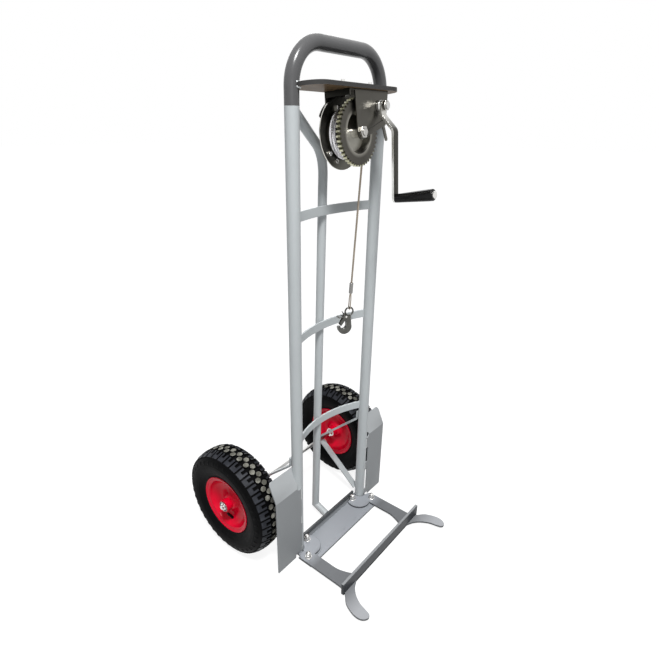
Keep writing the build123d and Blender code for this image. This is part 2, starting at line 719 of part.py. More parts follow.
def axle_bracket():
    """The right bracket: a strip from the tube round the back of the axle to the tube's foot."""
    half = BRACKET_THICKNESS / 2
    face = TUBE_RADIUS + half
    wrap = AXLE_RADIUS + half
    centre = Vector(AXLE_Y, AXLE_Z)
    upper = Vector(face, BRACKET_TOP_Z)
    lower = Vector(face, BRACKET_FOOT_Z)

    def touch(point, turn):
        """Where a line from a point touches the bend round the axle."""
        gap = centre - point
        angle = math.atan2(gap.Y, gap.X) + turn * math.asin(wrap / gap.length)
        reach = math.sqrt(gap.length ** 2 - wrap ** 2)
        return point + Vector(math.cos(angle), math.sin(angle)) * reach

    top = touch(upper, 1)
    bottom = touch(lower, -1)
    back = centre + ((top + bottom) * 0.5 - centre).normalized() * wrap
    leg = FilletPolyline(
        (face, BRACKET_TAB_TOP_Z),
        (face, BRACKET_TOP_Z),
        (top.X, top.Y),
        radius=BRACKET_BEND_RADIUS,
    )
    path = Wire(leg.edges() + [ThreePointArc(top, back, bottom), Line(bottom, lower)])
    start = Plane(origin=at_x(TUBE_X).from_local_coords((face, BRACKET_TAB_TOP_Z, 0)), x_dir=(1, 0, 0), z_dir=(0, 0, -1))
    strip = sweep(start * Rectangle(BRACKET_WIDTH, BRACKET_THICKNESS), path=at_x(TUBE_X) * path)
    strip = strip - tube_bar(1) - rod_x(0, 2 * TUBE_X, AXLE_RADIUS)
    return largest(strip)


def wheel_guard():
    """The right guard: a sheet in front of the wheel, its top bent back, slit between its welds to the tube."""
    front = -TUBE_RADIUS
    lean = math.atan2(GUARD_FLAP_BACK, GUARD_FLAP_RISE)
    shift = GUARD_THICKNESS * math.tan(lean / 2)
    profile = Polyline(
        (front, GUARD_BOTTOM_Z),
        (front, GUARD_BEND_Z),
        (front + GUARD_FLAP_BACK, GUARD_BEND_Z + GUARD_FLAP_RISE),
        (
            front + GUARD_FLAP_BACK + GUARD_THICKNESS * math.cos(lean),
            GUARD_BEND_Z + GUARD_FLAP_RISE - GUARD_THICKNESS * math.sin(lean),
        ),
        (front + GUARD_THICKNESS, GUARD_BEND_Z - shift),
        (front + GUARD_THICKNESS, GUARD_BOTTOM_Z),
        close=True,
    )
    sheet = extrude(at_x(TUBE_X) * make_face(profile), amount=GUARD_OUTER_X - TUBE_X)
    top = GUARD_BEND_Z + GUARD_FLAP_RISE
    view = Pos((TUBE_X + GUARD_OUTER_X) / 2, (GUARD_BOTTOM_Z + top) / 2) * Rectangle(
        GUARD_OUTER_X - TUBE_X, top - GUARD_BOTTOM_Z
    )
    corners = view.vertices().group_by(Axis.Y)[-1].sort_by(Axis.X)
    view = fillet(corners[-1], GUARD_CORNER_RADIUS)
    foot_width = FORK_OUTER_X + GUARD_FOOT_GAP - TUBE_X
    foot = Pos(TUBE_X + foot_width / 2, 0) * Rectangle(foot_width, 2 * (FORK_Z + GUARD_FOOT_GAP))
    relief = Pos(TUBE_X + TUBE_RADIUS / 2, GUARD_BEND_Z) * Circle(GUARD_RELIEF_RADIUS)
    view = view - foot - relief
    for start, length in (
        (GUARD_LOW_SLIT_Z, GUARD_LOW_SLIT_LENGTH),
        (GUARD_HIGH_SLIT_Z, GUARD_HIGH_SLIT_LENGTH),
    ):
        middle = Pos(TUBE_X + GUARD_SLIT_WIDTH / 2, start + length / 2)
        view = view - middle * Rectangle(GUARD_SLIT_WIDTH, length)
    sheet = sheet & plate_y(view, front - 1, front + 2 * GUARD_FLAP_BACK)
    sheet = sheet - tube_bar(1)
    return largest(sheet)


# Wheels, modelled about the X axis and set on the axle
def on_axle(shape, side):
    placed = Pos(WHEEL_X, AXLE_Y, AXLE_Z) * shape
    return placed if side > 0 else mirrored(placed)


def mirrored_section(half):
    """A wheel section: the edges of its right half and the same on the left."""
    return make_face(half + [mirror(edge, about=Plane.YZ) for edge in half])


def tyre_section():
    """Right half of the tyre's section, from the crown round the bead to the inside."""
    half = TYRE_WIDTH / 2
    tread = TYRE_RADIUS
    groove = RIB_HALF_WIDTH + GROOVE_FLARE
    row = groove + GROOVE_FLOOR + GROOVE_FLARE
    shoulder = (half - SHOULDER_INSET, tread - SHOULDER_DROP)
    bead = RIM_WIDTH / 2 - 2 * RIM_WALL - BEAD_CLEARANCE
    foot = RIM_RADIUS - BEAD_DROP
    lip = RIM_RADIUS + BEAD_LIP
    heel = bead + BEAD_HEEL
    inside = tread - TYRE_CROWN
    outer = Polyline(
        (0, tread),
        (RIB_HALF_WIDTH, tread),
        (groove, tread - TREAD_DEPTH),
        (groove + GROOVE_FLOOR, tread - TREAD_DEPTH),
        (row, tread - CROWN_DROP),
        (half - CROWN_INSET, tread - CROWN_EDGE_DROP),
        shoulder,
    )
    inner = Polyline(
        (heel, lip),
        (bead, foot),
        (bead - BEAD_THICKNESS, foot),
        (heel - BEAD_THICKNESS, lip),
    )
    casing = (half - 2 * TYRE_WALL, inside)
    return outer.edges() + inner.edges() + [
        ThreePointArc(shoulder, (half, RIM_RADIUS + SIDEWALL_RISE), (heel, lip)),
        ThreePointArc((heel - BEAD_THICKNESS, lip), (half - TYRE_WALL, RIM_RADIUS + SIDEWALL_RISE), casing),
        Line(casing, (0, inside)),
    ]


def tyre():
    """A pneumatic tyre with two grooves and staggered tread slots."""
    body = revolve(mirrored_section(tyre_section()), axis=Axis.X)
    row = RIB_HALF_WIDTH + 2 * GROOVE_FLARE + GROOVE_FLOOR
    width = TYRE_WIDTH / 2
    slot = Box(width, TREAD_SLOT, 2 * TREAD_DEPTH)
    step = 360 / TREAD_BLOCKS
    cutters = []
    for index in range(TREAD_BLOCKS):
        for side in (-1, 1):
            turn = step * (index + 0.25 * side)
            cutters.append(Rot(turn, 0, 0) * Pos(side * (row + width / 2), 0, TYRE_RADIUS) * slot)
    return body - cutters


def rim():
    """A pressed rim: a well between two flanges, with a dished disc to the hub."""
    half = RIM_WIDTH / 2
    wall = RIM_WALL
    seat = RIM_RADIUS - BEAD_DROP - BEAD_CLEARANCE
    well = seat - WELL_DEPTH
    seat_end = half - 2 * wall - SEAT_WIDTH
    waist = well - wall - DISC_WAIST_DROP
    profile = Polyline(
        (0, well),
        (seat_end - WELL_SLOPE, well),
        (seat_end, seat),
        (half - 2 * wall, seat),
        (half - wall, RIM_RADIUS),
        (half, RIM_RADIUS),
        (half - wall, seat - wall),
        (seat_end - wall / 2, seat - wall),
        (seat_end - wall / 2 - WELL_SLOPE, well - wall),
        (DISC_ROOT, well - wall),
        (DISC_WAIST, waist),
        (DISC_EYE_X, HUB_RADIUS + DISC_EYE_RISE),
        (DISC_HUB_X, HUB_RADIUS),
        (DISC_HUB_X - DISC_THICKNESS, HUB_RADIUS),
        (DISC_EYE_X - DISC_THICKNESS, HUB_RADIUS + DISC_EYE_RISE),
        (DISC_WAIST - DISC_THICKNESS, waist),
        (0, waist + DISC_WAIST),
    )
    return revolve(mirrored_section(profile.edges()), axis=Axis.X)


def hub():
    """The hub tube, with a seat for a bearing at each end."""
    half = HUB_LENGTH / 2
    tube = extrude(Plane.YZ.offset(-half) * Circle(HUB_RADIUS), amount=HUB_LENGTH)
    tube = tube - extrude(Plane.YZ.offset(-half) * Circle(BEARING_RADIUS - BEARING_STEP), amount=HUB_LENGTH)
    for start in (-half, half - BEARING_WIDTH):
        tube = tube - extrude(Plane.YZ.offset(start) * Circle(BEARING_RADIUS), amount=BEARING_WIDTH)
    return tube


def bearings():
    half = HUB_LENGTH / 2
    rings = []
    for start in (-half, half - BEARING_WIDTH):
        ring = Circle(BEARING_RADIUS) - Circle(AXLE_RADIUS + RUNNING_CLEARANCE)
        rings.append(extrude(Plane.YZ.offset(start) * ring, amount=BEARING_WIDTH))
    return rings


def valve():
    """The tyre's valve, coming out of the dish towards the hub."""
    well = RIM_RADIUS - BEAD_DROP - BEAD_CLEARANCE - WELL_DEPTH
    start = Plane(origin=(VALVE_X, 0, -well), z_dir=VALVE_WAY)
    stem = extrude(start * Circle(VALVE_DIAMETER / 2), amount=VALVE_LENGTH)
    cap_start = Plane(origin=start.origin + start.z_dir * VALVE_LENGTH, z_dir=start.z_dir)
    cap = extrude(cap_start * Circle(VALVE_DIAMETER / 2 - VALVE_CAP_STEP), amount=VALVE_CAP_LENGTH)
    return largest(stem + cap - rim())


# Winch frame and its fixed pieces, before they lean
def nose_touch(point, turn):
    """Where a line from a point touches the plate's nose round the drum shaft."""
    gap = Vector(*point) - Vector(DRUM_X, DRUM_Z)
    angle = math.atan2(gap.Y, gap.X) + turn * math.acos(PLATE_NOSE_RADIUS / gap.length)
    return DRUM_X + PLATE_NOSE_RADIUS * math.cos(angle), DRUM_Z + PLATE_NOSE_RADIUS * math.sin(angle)


def plate_sketch(left):
    """A side plate in X and Z: its left edges, a nose round the drum shaft, a shoulder at the right."""
    shoulder = (PLATE_RIGHT_X - PLATE_SHOULDER_INSET, SHELF_Z - PLATE_SHOULDER_DROP)
    top_right = (PLATE_RIGHT_X, SHELF_Z)
    start = left[0] @ 0
    end = left[-1] @ 1
    touch = nose_touch((end.X, end.Y), 1)
    beyond = nose_touch(shoulder, -1)
    edges = left + [
        Line(end, touch),
        Line(touch, beyond),
        Line(beyond, shoulder),
        Line(shoulder, top_right),
        Line(top_right, start),
    ]
    sketch = make_face(edges) + Pos(DRUM_X, DRUM_Z) * Circle(PLATE_NOSE_RADIUS)
    sketch = sketch - Pos(DRUM_X, DRUM_Z) * Circle(SHAFT_DIAMETER / 2)
    return sketch - Pos(CRANK_X, CRANK_Z) * Circle(CRANK_SHAFT_DIAMETER / 2 + RUNNING_CLEARANCE)


def front_plate():
    """The front plate, with the hole for the pawl's pin."""
    corner = (PLATE_LEFT_X, SHELF_Z)
    edge = Line((PLATE_LEFT_X + SHEET, SHELF_Z), corner)
    sketch = plate_sketch([edge]) - Pos(PAWL_X, PAWL_Z) * Circle(PAWL_PIN_DIAMETER / 2)
    return plate_y(sketch, PLATE_FRONT_Y, PLATE_FRONT_Y + SHEET)


def rear_plate():
    """The rear plate, wider than the front one and round behind the drum's flange."""
    rise = math.sqrt(REAR_PLATE_RADIUS ** 2 - (DRUM_X - WEB_LEFT_X) ** 2)
    first = math.degrees(math.atan2(rise, WEB_LEFT_X - DRUM_X))
    arc = CenterArc((DRUM_X, DRUM_Z), REAR_PLATE_RADIUS, first, REAR_PLATE_ANGLE - first)
    edge = Line((WEB_LEFT_X, SHELF_Z), arc @ 0)
    return plate_y(plate_sketch([edge, arc]), PLATE_BACK_Y - SHEET, PLATE_BACK_Y)


def winch_frame():
    """A bent sheet channel hung under the shelf, open at the bottom."""
    width = PLATE_RIGHT_X - WEB_LEFT_X
    depth = PLATE_BACK_Y - PLATE_FRONT_Y
    middle = Pos(WEB_LEFT_X + width / 2, PLATE_FRONT_Y + depth / 2, SHELF_Z - SHEET / 2)
    lip = Pos(WEB_LEFT_X + SHEET / 2, PLATE_FRONT_Y + depth / 2, SHELF_Z - LIP_HEIGHT / 2)
    frame = front_plate() + rear_plate() + middle * Box(width, depth, SHEET)
    frame = frame + lip * Box(SHEET, depth, LIP_HEIGHT)
    for x, y in WINCH_BOLTS:
        radius = WINCH_BOLT_DIAMETER / 2 + BOLT_HOLE_CLEARANCE
        frame = frame - rod_z(SHELF_Z - SHEET, SHELF_Z, radius, x, y)
    return frame


def winch_bolts():
    """Bolts from inside the winch frame up through the shelf."""
    bolts = []
    under = SHELF_Z - SHEET
    for x, y in WINCH_BOLTS:
        shank = rod_z(under, SHELF_TOP_Z + WINCH_BOLT_END, WINCH_BOLT_DIAMETER / 2, x, y)
        cap = extrude(Pos(x, y, under - WINCH_BOLT_HEAD) * hexagon(WINCH_BOLT_FLATS), amount=WINCH_BOLT_HEAD)
        bolts.append(shank + cap)
    return bolts


def winch_nuts():
    nuts = []
    for x, y in WINCH_BOLTS:
        body = extrude(Pos(x, y, SHELF_TOP_Z) * hexagon(WINCH_BOLT_FLATS), amount=WINCH_NUT_HEIGHT)
        nuts.append(body - rod_z(SHELF_TOP_Z, SHELF_TOP_Z + WINCH_NUT_HEIGHT, WINCH_BOLT_DIAMETER / 2, x, y))
    return nuts


def drum_shaft():
    front = PLATE_FRONT_Y - SHAFT_NUT_HEIGHT - SHAFT_END
    back = PLATE_BACK_Y + SHAFT_NUT_HEIGHT + SHAFT_END
    shaft = rod_y(front, back, SHAFT_DIAMETER / 2, DRUM_X, DRUM_Z)
    ends = shaft.edges().filter_by(GeomType.CIRCLE)
    return chamfer(ends, SHAFT_CHAMFER)


def drum_shaft_nuts():
    nuts = []
    for y in (PLATE_FRONT_Y - SHAFT_NUT_HEIGHT, PLATE_BACK_Y):
        outline = Pos(DRUM_X, DRUM_Z) * (hexagon(SHAFT_NUT_FLATS) - Circle(SHAFT_DIAMETER / 2))
        nuts.append(plate_y(outline, y, y + SHAFT_NUT_HEIGHT))
    return nuts


def drum_spacers():
    """Sleeves that keep the drum between the side plates."""
    sleeves = []
    spans = (
        (PLATE_FRONT_Y + SHEET, GEAR_FRONT_Y + DISH_DEPTH - END_GAP),
        (FLANGE_FRONT_Y + FLANGE_THICKNESS + END_GAP, PLATE_BACK_Y - SHEET),
    )
    for start, end in spans:
        outline = Pos(DRUM_X, DRUM_Z) * (Circle(SPACER_RADIUS) - Circle(SHAFT_DIAMETER / 2))
        sleeves.append(plate_y(outline, start, end))
    return sleeves


def pawl_pin():
    """A shouldered pin riveted to the front plate."""
    back = RATCHET_BACK_Y + PAWL_PIN_COLLAR
    radius = PAWL_PIN_DIAMETER / 2
    front = PLATE_FRONT_Y - PAWL_PIN_HEAD
    pin = rod_y(front, back, radius, PAWL_X, PAWL_Z)
    head = rod_y(front, PLATE_FRONT_Y, radius + PAWL_PIN_COLLAR, PAWL_X, PAWL_Z)
    keeper = rod_y(RATCHET_BACK_Y + PAWL_SIDE_GAP, back, radius + PAWL_PIN_COLLAR, PAWL_X, PAWL_Z)
    return pin + head + keeper


# Drum
def tooth_outline(teeth, tip, root, phase):
    """Outline of a gear with involute flanks, turned by phase degrees."""
    pitch = GEAR_MODULE * teeth / 2
    base = pitch * math.cos(math.radians(PRESSURE_ANGLE))
    flat = math.tan(math.radians(PRESSURE_ANGLE)) - math.radians(PRESSURE_ANGLE)
    half = math.pi / (2 * teeth) - GEAR_BACKLASH / (4 * pitch)

    def flank(radius):
        """Half the angle of a tooth at a radius."""
        if radius <= base:
            return half + flat
        angle = math.acos(base / radius)
        return half + flat - (math.tan(angle) - angle)

    low = max(base, root)
    levels = (root, low + 0.01, low + 0.35 * (tip - low), low + 0.7 * (tip - low), tip)
    points = []
    for index in range(teeth):
        middle = math.radians(phase) + 2 * math.pi * index / teeth
        for radius in levels:
            angle = middle - flank(radius)
            points.append((radius * math.cos(angle), radius * math.sin(angle)))
        for radius in reversed(levels):
            angle = middle + flank(radius)
            points.append((radius * math.cos(angle), radius * math.sin(angle)))
    return make_face(Polyline(*points, close=True))


def main_gear():
    """The large gear, dished towards the drum, with a tooth facing the pinion."""
    root = CENTRE_DISTANCE - PINION_TIP_RADIUS - TOOTH_CLEARANCE
    outline = Pos(DRUM_X, DRUM_Z) * tooth_outline(GEAR_TEETH, GEAR_TIP_RADIUS, root, MESH_ANGLE)
    gear = plate_y(outline, GEAR_FRONT_Y, GEAR_FRONT_Y + GEAR_FACE)
    floor_y = GEAR_FRONT_Y + DISH_DEPTH
    floor_radius = DISH_RADIUS - DISH_TAPER
    cone = Polyline(
        (0, GEAR_FRONT_Y),
        (DISH_RADIUS, GEAR_FRONT_Y),
        (floor_radius, floor_y),
        (0, floor_y),
        close=True,
    )
    back = Polyline(
        (0, GEAR_FRONT_Y),
        (DISH_RADIUS + DISH_WALL, GEAR_FRONT_Y),
        (floor_radius + DISH_WALL, GEAR_BACK_Y),
        (0, GEAR_BACK_Y),
        close=True,
    )
    axis = Pos(DRUM_X, 0, DRUM_Z)
    gear = gear + axis * revolve(make_face(back), axis=Axis.Y)
    gear = gear - axis * revolve(make_face(cone), axis=Axis.Y)
    bore = SHAFT_DIAMETER / 2 + RUNNING_CLEARANCE
    return gear - rod_y(GEAR_FRONT_Y, GEAR_BACK_Y, bore, DRUM_X, DRUM_Z)


def drum_core():
    """The drum's barrel and the wound rope under the outer layer."""
    bore = SHAFT_DIAMETER / 2 + RUNNING_CLEARANCE
    outline = Pos(DRUM_X, DRUM_Z) * (Circle(CORE_RADIUS) - Circle(bore))
    return plate_y(outline, GEAR_BACK_Y, FLANGE_FRONT_Y)


def drum_flange():
    bore = SHAFT_DIAMETER / 2 + RUNNING_CLEARANCE
    outline = Pos(DRUM_X, DRUM_Z) * (Circle(FLANGE_RADIUS) - Circle(bore))
    return plate_y(outline, FLANGE_FRONT_Y, FLANGE_FRONT_Y + FLANGE_THICKNESS)


def winding_point(turn):
    """A point of the outer rope layer and its direction, counted in turns from the free end."""
    angle = 2 * math.pi * turn
    y = WINDING_END_Y + WINDING_PITCH * turn
    point = Vector(DRUM_X + WINDING_RADIUS * math.cos(angle), y, DRUM_Z + WINDING_RADIUS * math.sin(angle))
    along = Vector(
        -2 * math.pi * WINDING_RADIUS * math.sin(angle),
        WINDING_PITCH,
        2 * math.pi * WINDING_RADIUS * math.cos(angle),
    )
    return point, along.normalized()


def biarc(start, leaving, end, arriving):
    """Two arcs between two points that keep the direction at both."""
    span = end - start
    total = leaving + arriving
    bend = 2 * (1 - leaving.dot(arriving))
    reach = (math.sqrt(span.dot(total) ** 2 + bend * span.dot(span)) - span.dot(total)) / bend
    before = start + leaving * reach
    after = end - arriving * reach
    joint = (before + after) * 0.5
    return [
        TangentArc(start, joint, tangent=leaving),
        TangentArc(joint, end, tangent=(after - before).normalized()),
    ]


def rope_exit():
    """Where the hanging rope starts, a little below the winding's free end."""
    return (winch_place() * Pos(DRUM_X + WINDING_RADIUS, WINDING_END_Y, DRUM_Z - ROPE_DIAMETER)).position


def rope_winding():
    """The outer layer of rope on the drum, one tube from the clamp to the hanging rope."""
    steps = int(4 * WINDING_TURNS)
    stations = [winding_point(WINDING_TURNS * index / steps) for index in range(steps + 1)]
    first = stations[0][0]
    edges = []
    for index in range(steps):
        point, along = stations[index]
        beyond, arriving = stations[index + 1]
        edges += biarc(point, Vector(0, 0, 1) if index == 0 else along, beyond, arriving)
    last, heading = stations[-1]
    edges.append(Line(last, last + heading * ROPE_DIAMETER))
    path = Wire(edges)
    report_gap(path)
    start = Plane(origin=path @ 0, z_dir=path % 0)
    turns = sweep(start * Circle(ROPE_RADIUS), path=path)
    tail = leaning(rod_z(first.Z - 2 * ROPE_DIAMETER, first.Z, ROPE_RADIUS, first.X, first.Y))
    return leaning(turns) + (tail - rope_block(-1))


def rope_block(side):
    """A block above or below the level where the hanging rope starts."""
    size = 8 * ROPE_DIAMETER
    return Pos(*rope_exit()) * Pos(0, 0, side * size / 2) * Box(size, size, size)


def report_gap(path):
    """Print the least gap between the turns of the rope winding."""
    count = 400
    points = [path @ (index / count) for index in range(count + 1)]
    apart = int(count * 0.5 / WINDING_TURNS)
    least = min(
        (points[i] - points[j]).length
        for i in range(count + 1)
        for j in range(i + apart, count + 1)
    )
    print("rope winding, least gap to itself:", round(least - ROPE_DIAMETER, 2), "mm")


def rope_clamp():
    """The block that the rope's inner end runs into, and two bolt heads on the drum flange."""
    last, heading = winding_point(WINDING_TURNS)
    face = Plane(origin=last + heading * ROPE_DIAMETER, x_dir=(0, 1, 0), z_dir=heading)
    width = 2 * ROPE_RADIUS + CLAMP_MARGIN
    block = extrude(face * Rectangle(width, CLAMP_BLOCK), amount=CLAMP_BLOCK)
    block = block + extrude(face * Pos(width / 2, 0) * Rectangle(width, CLAMP_BLOCK), amount=CLAMP_BLOCK)
    block = block - rod_y(GEAR_BACK_Y, PLATE_BACK_Y, CORE_RADIUS, DRUM_X, DRUM_Z)
    block = block - rod_y(FLANGE_FRONT_Y, PLATE_BACK_Y, FLANGE_RADIUS + CLAMP_BLOCK, DRUM_X, DRUM_Z)
    pieces = [largest(block)]
    bolt_radius = FLANGE_RADIUS - CLAMP_BOLT_INSET
    for angle in CLAMP_BOLT_ANGLES:
        x = DRUM_X + bolt_radius * math.cos(math.radians(angle))
        z = DRUM_Z + bolt_radius * math.sin(math.radians(angle))
        outline = Pos(x, z) * hexagon(CLAMP_BOLT_FLATS)
        pieces.append(plate_y(outline, FLANGE_FRONT_Y - CLAMP_BOLT_HEIGHT, FLANGE_FRONT_Y))
    return pieces


# Crank
def pinion_shaft():
    """The crank shaft with the pinion cut on it."""
    front = CRANK_FACE_Y - CRANK_THICKNESS - CRANK_NUT_HEIGHT - SHAFT_END
    back = PLATE_BACK_Y + SHAFT_END
    shaft = rod_y(front, back, CRANK_SHAFT_DIAMETER / 2, CRANK_X, CRANK_Z)
    root = CENTRE_DISTANCE - GEAR_TIP_RADIUS - TOOTH_CLEARANCE
    phase = MESH_ANGLE + 180 + 180 / PINION_TEETH
    outline = Pos(CRANK_X, CRANK_Z) * tooth_outline(PINION_TEETH, PINION_TIP_RADIUS, root, phase)
    start = GEAR_FRONT_Y - (PINION_FACE - GEAR_FACE) / 2
    return shaft + plate_y(outline, start, start + PINION_FACE)


def crank_boss():
    """The collar between the front plate and the crank arm."""
    outline = Pos(CRANK_X, CRANK_Z) * (Circle(CRANK_BOSS_RADIUS) - Circle(CRANK_SHAFT_DIAMETER / 2))
    return plate_y(outline, CRANK_FACE_Y, PLATE_FRONT_Y - END_GAP)


def ratchet_wheel():
    """A saw-toothed wheel behind the front plate."""
    points = []
    step = 2 * math.pi / RATCHET_TEETH
    for index in range(RATCHET_TEETH):
        angle = index * step
        points.append((RATCHET_RADIUS * math.cos(angle), RATCHET_RADIUS * math.sin(angle)))
        inner = RATCHET_RADIUS - RATCHET_DEPTH
        points.append((inner * math.cos(angle + 0.1 * step), inner * math.sin(angle + 0.1 * step)))
    outline = make_face(Polyline(*points, close=True)) - Circle(CRANK_SHAFT_DIAMETER / 2)
    return plate_y(Pos(CRANK_X, CRANK_Z) * outline, RATCHET_FRONT_Y, RATCHET_BACK_Y)


def crank_points():
    """The middle line of the crank arm in Y and Z, from above the shaft to past the grip."""
    middle = CRANK_FACE_Y - CRANK_THICKNESS / 2
    bend_z = CRANK_Z - CRANK_HUB_DROP
    return [
        (middle, CRANK_Z + CRANK_WIDTH / 2 + CRANK_TOP_RISE),
        (middle, bend_z),
        (middle - CRANK_OFFSET, bend_z - CRANK_BEND_DROP),
        (middle - CRANK_OFFSET, CRANK_Z - CRANK_RADIUS - CRANK_WIDTH / 2),
    ]


def crank_arm():
    """A flat bar with an outward bend and rounded ends."""
    points = crank_points()
    path = at_x(CRANK_X) * FilletPolyline(*points, radius=CRANK_BEND_RADIUS)
    start = Plane(origin=path @ 0, x_dir=(1, 0, 0), z_dir=path % 0)
    arm = sweep(start * Rectangle(CRANK_WIDTH, CRANK_THICKNESS), path=path)
    grip_z = CRANK_Z - CRANK_RADIUS
    top_z = CRANK_Z + CRANK_TOP_RISE
    view = Pos(CRANK_X, (top_z + grip_z) / 2) * SlotCenterToCenter(top_z - grip_z, CRANK_WIDTH, rotation=90)
    arm = arm & plate_y(view, points[-1][0] - CRANK_OFFSET, CRANK_FACE_Y + CRANK_OFFSET)
    arm = arm - rod_y(CRANK_FACE_Y - CRANK_THICKNESS, CRANK_FACE_Y, CRANK_SHAFT_DIAMETER / 2, CRANK_X, CRANK_Z)
    arm = arm - grip_rod(GRIP_PIN_DIAMETER / 2, -CRANK_THICKNESS, CRANK_THICKNESS)
    return largest(arm)


def grip_plane(distance):
    """A plane across the grip's axis, a distance in front of the arm's middle."""
    tilt = math.radians(GRIP_TILT)
    foot = Vector(CRANK_X, crank_points()[-1][0], CRANK_Z - CRANK_RADIUS)
    out = Vector(0, -math.cos(tilt), math.sin(tilt))
    return Plane(origin=foot + out * distance, x_dir=(1, 0, 0), z_dir=out)


def grip_rod(radius, start, end):
    return extrude(grip_plane(start) * Circle(radius), amount=end - start)


def grip_start():
    """How far the grip's root lies in front of the arm's middle."""
    return CRANK_THICKNESS / 2 + GRIP_ROOT_GAP


def grip_pin():
    """The rivet that the grip turns on, headed at its outer end and cut flush behind the arm."""
    end = grip_start() + GRIP_LENGTH + GRIP_END_GAP
    pin = grip_rod(GRIP_PIN_DIAMETER / 2, -CRANK_THICKNESS / 2, end)
    return pin + grip_rod(GRIP_PIN_HEAD_RADIUS, end, end + GRIP_PIN_HEAD)


def crank_grip():
    """A tapered plastic grip that turns on its pin."""
    start = grip_start()
    taper_end = start + GRIP_TAPER_LENGTH
    sections = [grip_plane(start) * Circle(GRIP_ROOT_RADIUS), grip_plane(taper_end) * Circle(GRIP_END_RADIUS)]
    grip = loft(sections) + grip_rod(GRIP_END_RADIUS, taper_end, start + GRIP_LENGTH)
    rim_edge = grip.edges().filter_by(GeomType.CIRCLE).sort_by(Axis.Y)[0]
    grip = fillet(rim_edge, GRIP_END_ROUND)
    return grip - grip_rod(GRIP_PIN_DIAMETER / 2 + RUNNING_CLEARANCE, start - 1, start + GRIP_LENGTH + 1)


def crank_nut():
    outline = Pos(CRANK_X, CRANK_Z) * (hexagon(CRANK_NUT_FLATS) - Circle(CRANK_SHAFT_DIAMETER / 2))
    front = CRANK_FACE_Y - CRANK_THICKNESS - CRANK_NUT_HEIGHT
    return plate_y(outline, front, front + CRANK_NUT_HEIGHT)


def pawl():
    """A lever behind the front plate: a nose towards the ratchet and a thumb tail."""
    gap = Vector(CRANK_X - PAWL_X, CRANK_Z - PAWL_Z)
    reach = gap.length - RATCHET_RADIUS - PAWL_NOSE_GAP
    angle = math.degrees(math.atan2(gap.Y, gap.X))
    half = PAWL_NOSE_WIDTH / 2
    nose = make_face(
        Polyline((0, -PAWL_HUB_RADIUS), (reach, -half), (reach, half), (0, PAWL_HUB_RADIUS), close=True)
    )
    tail = Pos(PAWL_TAIL_LENGTH / 2, 0) * SlotCenterToCenter(PAWL_TAIL_LENGTH, PAWL_TAIL_WIDTH)
    outline = Circle(PAWL_HUB_RADIUS) + Rot(0, 0, angle) * nose + Rot(0, 0, PAWL_TAIL_ANGLE) * tail
    outline = outline - Circle(PAWL_PIN_DIAMETER / 2 + RUNNING_CLEARANCE)
    return plate_y(Pos(PAWL_X, PAWL_Z) * outline, RATCHET_FRONT_Y, RATCHET_BACK_Y - PAWL_SIDE_GAP)


# Hoist rope and hook
def hook_plane():
    """The hook's plane: its origin in the eye, X across and Y up, facing the front left."""
    turn = math.radians(HOOK_TURN)
    across = (math.cos(turn), -math.sin(turn), 0)
    facing = (-math.sin(turn), -math.cos(turn), 0)
    return Plane((HOOK_X, HOOK_Y, EYE_Z), x_dir=across, z_dir=facing)


def rope_plane():
    """A plane along the hanging rope and across the hook, with its origin in the hook's eye."""
    up = (rope_exit() - hook_plane().origin).normalized()
    facing = hook_plane().z_dir
    across = (facing - up * facing.dot(up)).normalized()
    return Plane(hook_plane().origin, x_dir=across, z_dir=across.cross(up))


def rope_rod(radius, start, end):
    """A round bar along the hanging rope, counted from the hook's eye."""
    place = rope_plane()
    return extrude(Plane(place.origin + place.y_dir * start, z_dir=place.y_dir) * Circle(radius), amount=end - start)


def hoist_rope():
    """The hanging stretch of rope, straight from the drum to the ferrule."""
    length = (rope_exit() - hook_plane().origin).length
    rope = rope_rod(ROPE_RADIUS, FERRULE_RISE, length + ROPE_DIAMETER)
    return rope - rope_block(1)


def rope_ferrule():
    """The pressed sleeve that closes the rope's eye."""
    sleeve = rope_rod(FERRULE_RADIUS, FERRULE_RISE - FERRULE_LENGTH, FERRULE_RISE)
    return fillet(sleeve.edges().filter_by(GeomType.CIRCLE), FERRULE_ROUND)


def rope_eye():
    """The rope's eye, a long loop through the hook's ring."""
    top = FERRULE_RISE - FERRULE_LENGTH
    low = EYE_RADIUS - LOOP_WIRE / 2 - LINK_GAP
    root = LOOP_WIRE / 2 + LINK_GAP
    path = rope_plane() * FilletPolyline(
        (-root, top + LOOP_WIRE),
        (-LOOP_HALF_WIDTH, top - LOOP_SHOULDER),
        (-LOOP_HALF_WIDTH, low),
        (LOOP_HALF_WIDTH, low),
        (LOOP_HALF_WIDTH, top - LOOP_SHOULDER),
        (root, top + LOOP_WIRE),
        radius=LOOP_HALF_WIDTH - LINK_GAP,
    )
    start = Plane(origin=path @ 0, z_dir=path % 0)
    loop = sweep(start * Circle(LOOP_WIRE / 2), path=path)
    return largest(loop - rope_rod(2 * FERRULE_RADIUS, top, FERRULE_RISE))


def through_hook(sketch, near, far):
    """A sketch in the hook's plane, as plates on both faces or one block when near is zero."""
    block = extrude(hook_plane() * sketch, amount=far, both=True)
    if near == 0:
        return block
    return block - extrude(hook_plane() * sketch, amount=near, both=True)


def latch_pivot():
    return Pos(-LATCH_SHIFT, -LATCH_DROP)


